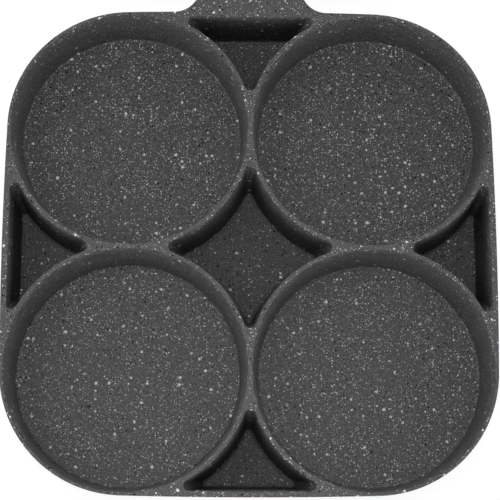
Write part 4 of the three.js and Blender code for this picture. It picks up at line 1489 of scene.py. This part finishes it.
def photo_camera(scene, studio, pan):
    """Camera that looks down into the cups, with the handle leaving the top of the frame."""
    data = bpy.data.cameras.new("Camera")
    data.lens = studio.lens
    data.shift_x = studio.shift_x
    data.shift_y = studio.shift_y
    data.clip_start = CAMERA_NEAR
    camera = bpy.data.objects.new("Camera", data)
    back = seen_from(studio.elevation, studio.yaw)
    right = Vector((0, 0, 1)).cross(back).normalized()
    up = back.cross(right)
    turn = Matrix((right, up, back)).transposed() @ Matrix.Rotation(studio.roll, 3, "Z")
    target = Vector((0, 0, rim_height(pan)))
    camera.matrix_world = Matrix.Translation(target + back * studio.distance) @ turn.to_4x4()
    scene.collection.objects.link(camera)
    scene.camera = camera


class EGGPAN_OT_stage(bpy.types.Operator):
    """Builds the floor, the lamps and the camera"""

    bl_idname = "egg_pan.stage"
    bl_label = "Stage"

    def execute(self, context):
        scene = context.scene
        bm = bmesh.new()
        bmesh.ops.create_grid(bm, x_segments=1, y_segments=1, size=FLOOR_SIDE / 2)
        floor = new_object("floor", bm, Matrix.Translation((0, 0, CAD_BOX[0].z - FLOOR_GAP)))
        floor.data.materials.append(studio_paper(scene.egg_pan_finishes))
        studio_world(scene, scene.egg_pan_studio)
        studio_lamps(scene, scene.egg_pan_studio)
        photo_camera(scene, scene.egg_pan_studio, scene.egg_pan_sizes)
        scene.view_settings.view_transform = "Standard"
        return {"FINISHED"}


class EGGPAN_PT_sidebar(bpy.types.Panel):
    """Lists the pieces and their sizes"""

    bl_idname = "EGGPAN_PT_sidebar"
    bl_label = "Egg Pan"
    bl_space_type = "VIEW_3D"
    bl_region_type = "UI"
    bl_category = "Egg Pan"

    def draw(self, context):
        for operator in OPERATORS:
            self.layout.operator(operator.bl_idname)
        for name, group in GROUPS.items():
            box = self.layout.box()
            for key in group.__annotations__:
                box.prop(getattr(context.scene, name), key)


GROUPS = {
    "egg_pan_sizes": PanSizes,
    "egg_pan_handle": HandleSizes,
    "egg_pan_finishes": Finishes,
    "egg_pan_studio": StudioSizes,
}
OPERATORS = (
    EGGPAN_OT_stage,
    EGGPAN_OT_casting,
    EGGPAN_OT_base_plate,
    EGGPAN_OT_ferrule,
    EGGPAN_OT_grip,
    EGGPAN_OT_rod,
    EGGPAN_OT_hanging_ring,
)


def register():
    for kind in (*GROUPS.values(), *OPERATORS, EGGPAN_PT_sidebar):
        bpy.utils.register_class(kind)
    for name, group in GROUPS.items():
        setattr(bpy.types.Scene, name, PointerProperty(type=group))


def unregister():
    for name in GROUPS:
        delattr(bpy.types.Scene, name)
    for kind in (EGGPAN_PT_sidebar, *reversed(OPERATORS), *GROUPS.values()):
        bpy.utils.unregister_class(kind)


def main():
    register()
    bpy.ops.egg_pan.stage()
    bpy.ops.egg_pan.casting()
    bpy.ops.egg_pan.base_plate()
    bpy.ops.egg_pan.ferrule()
    bpy.ops.egg_pan.grip()
    bpy.ops.egg_pan.rod()
    bpy.ops.egg_pan.hanging_ring()


if __name__ == "__main__":
    main()
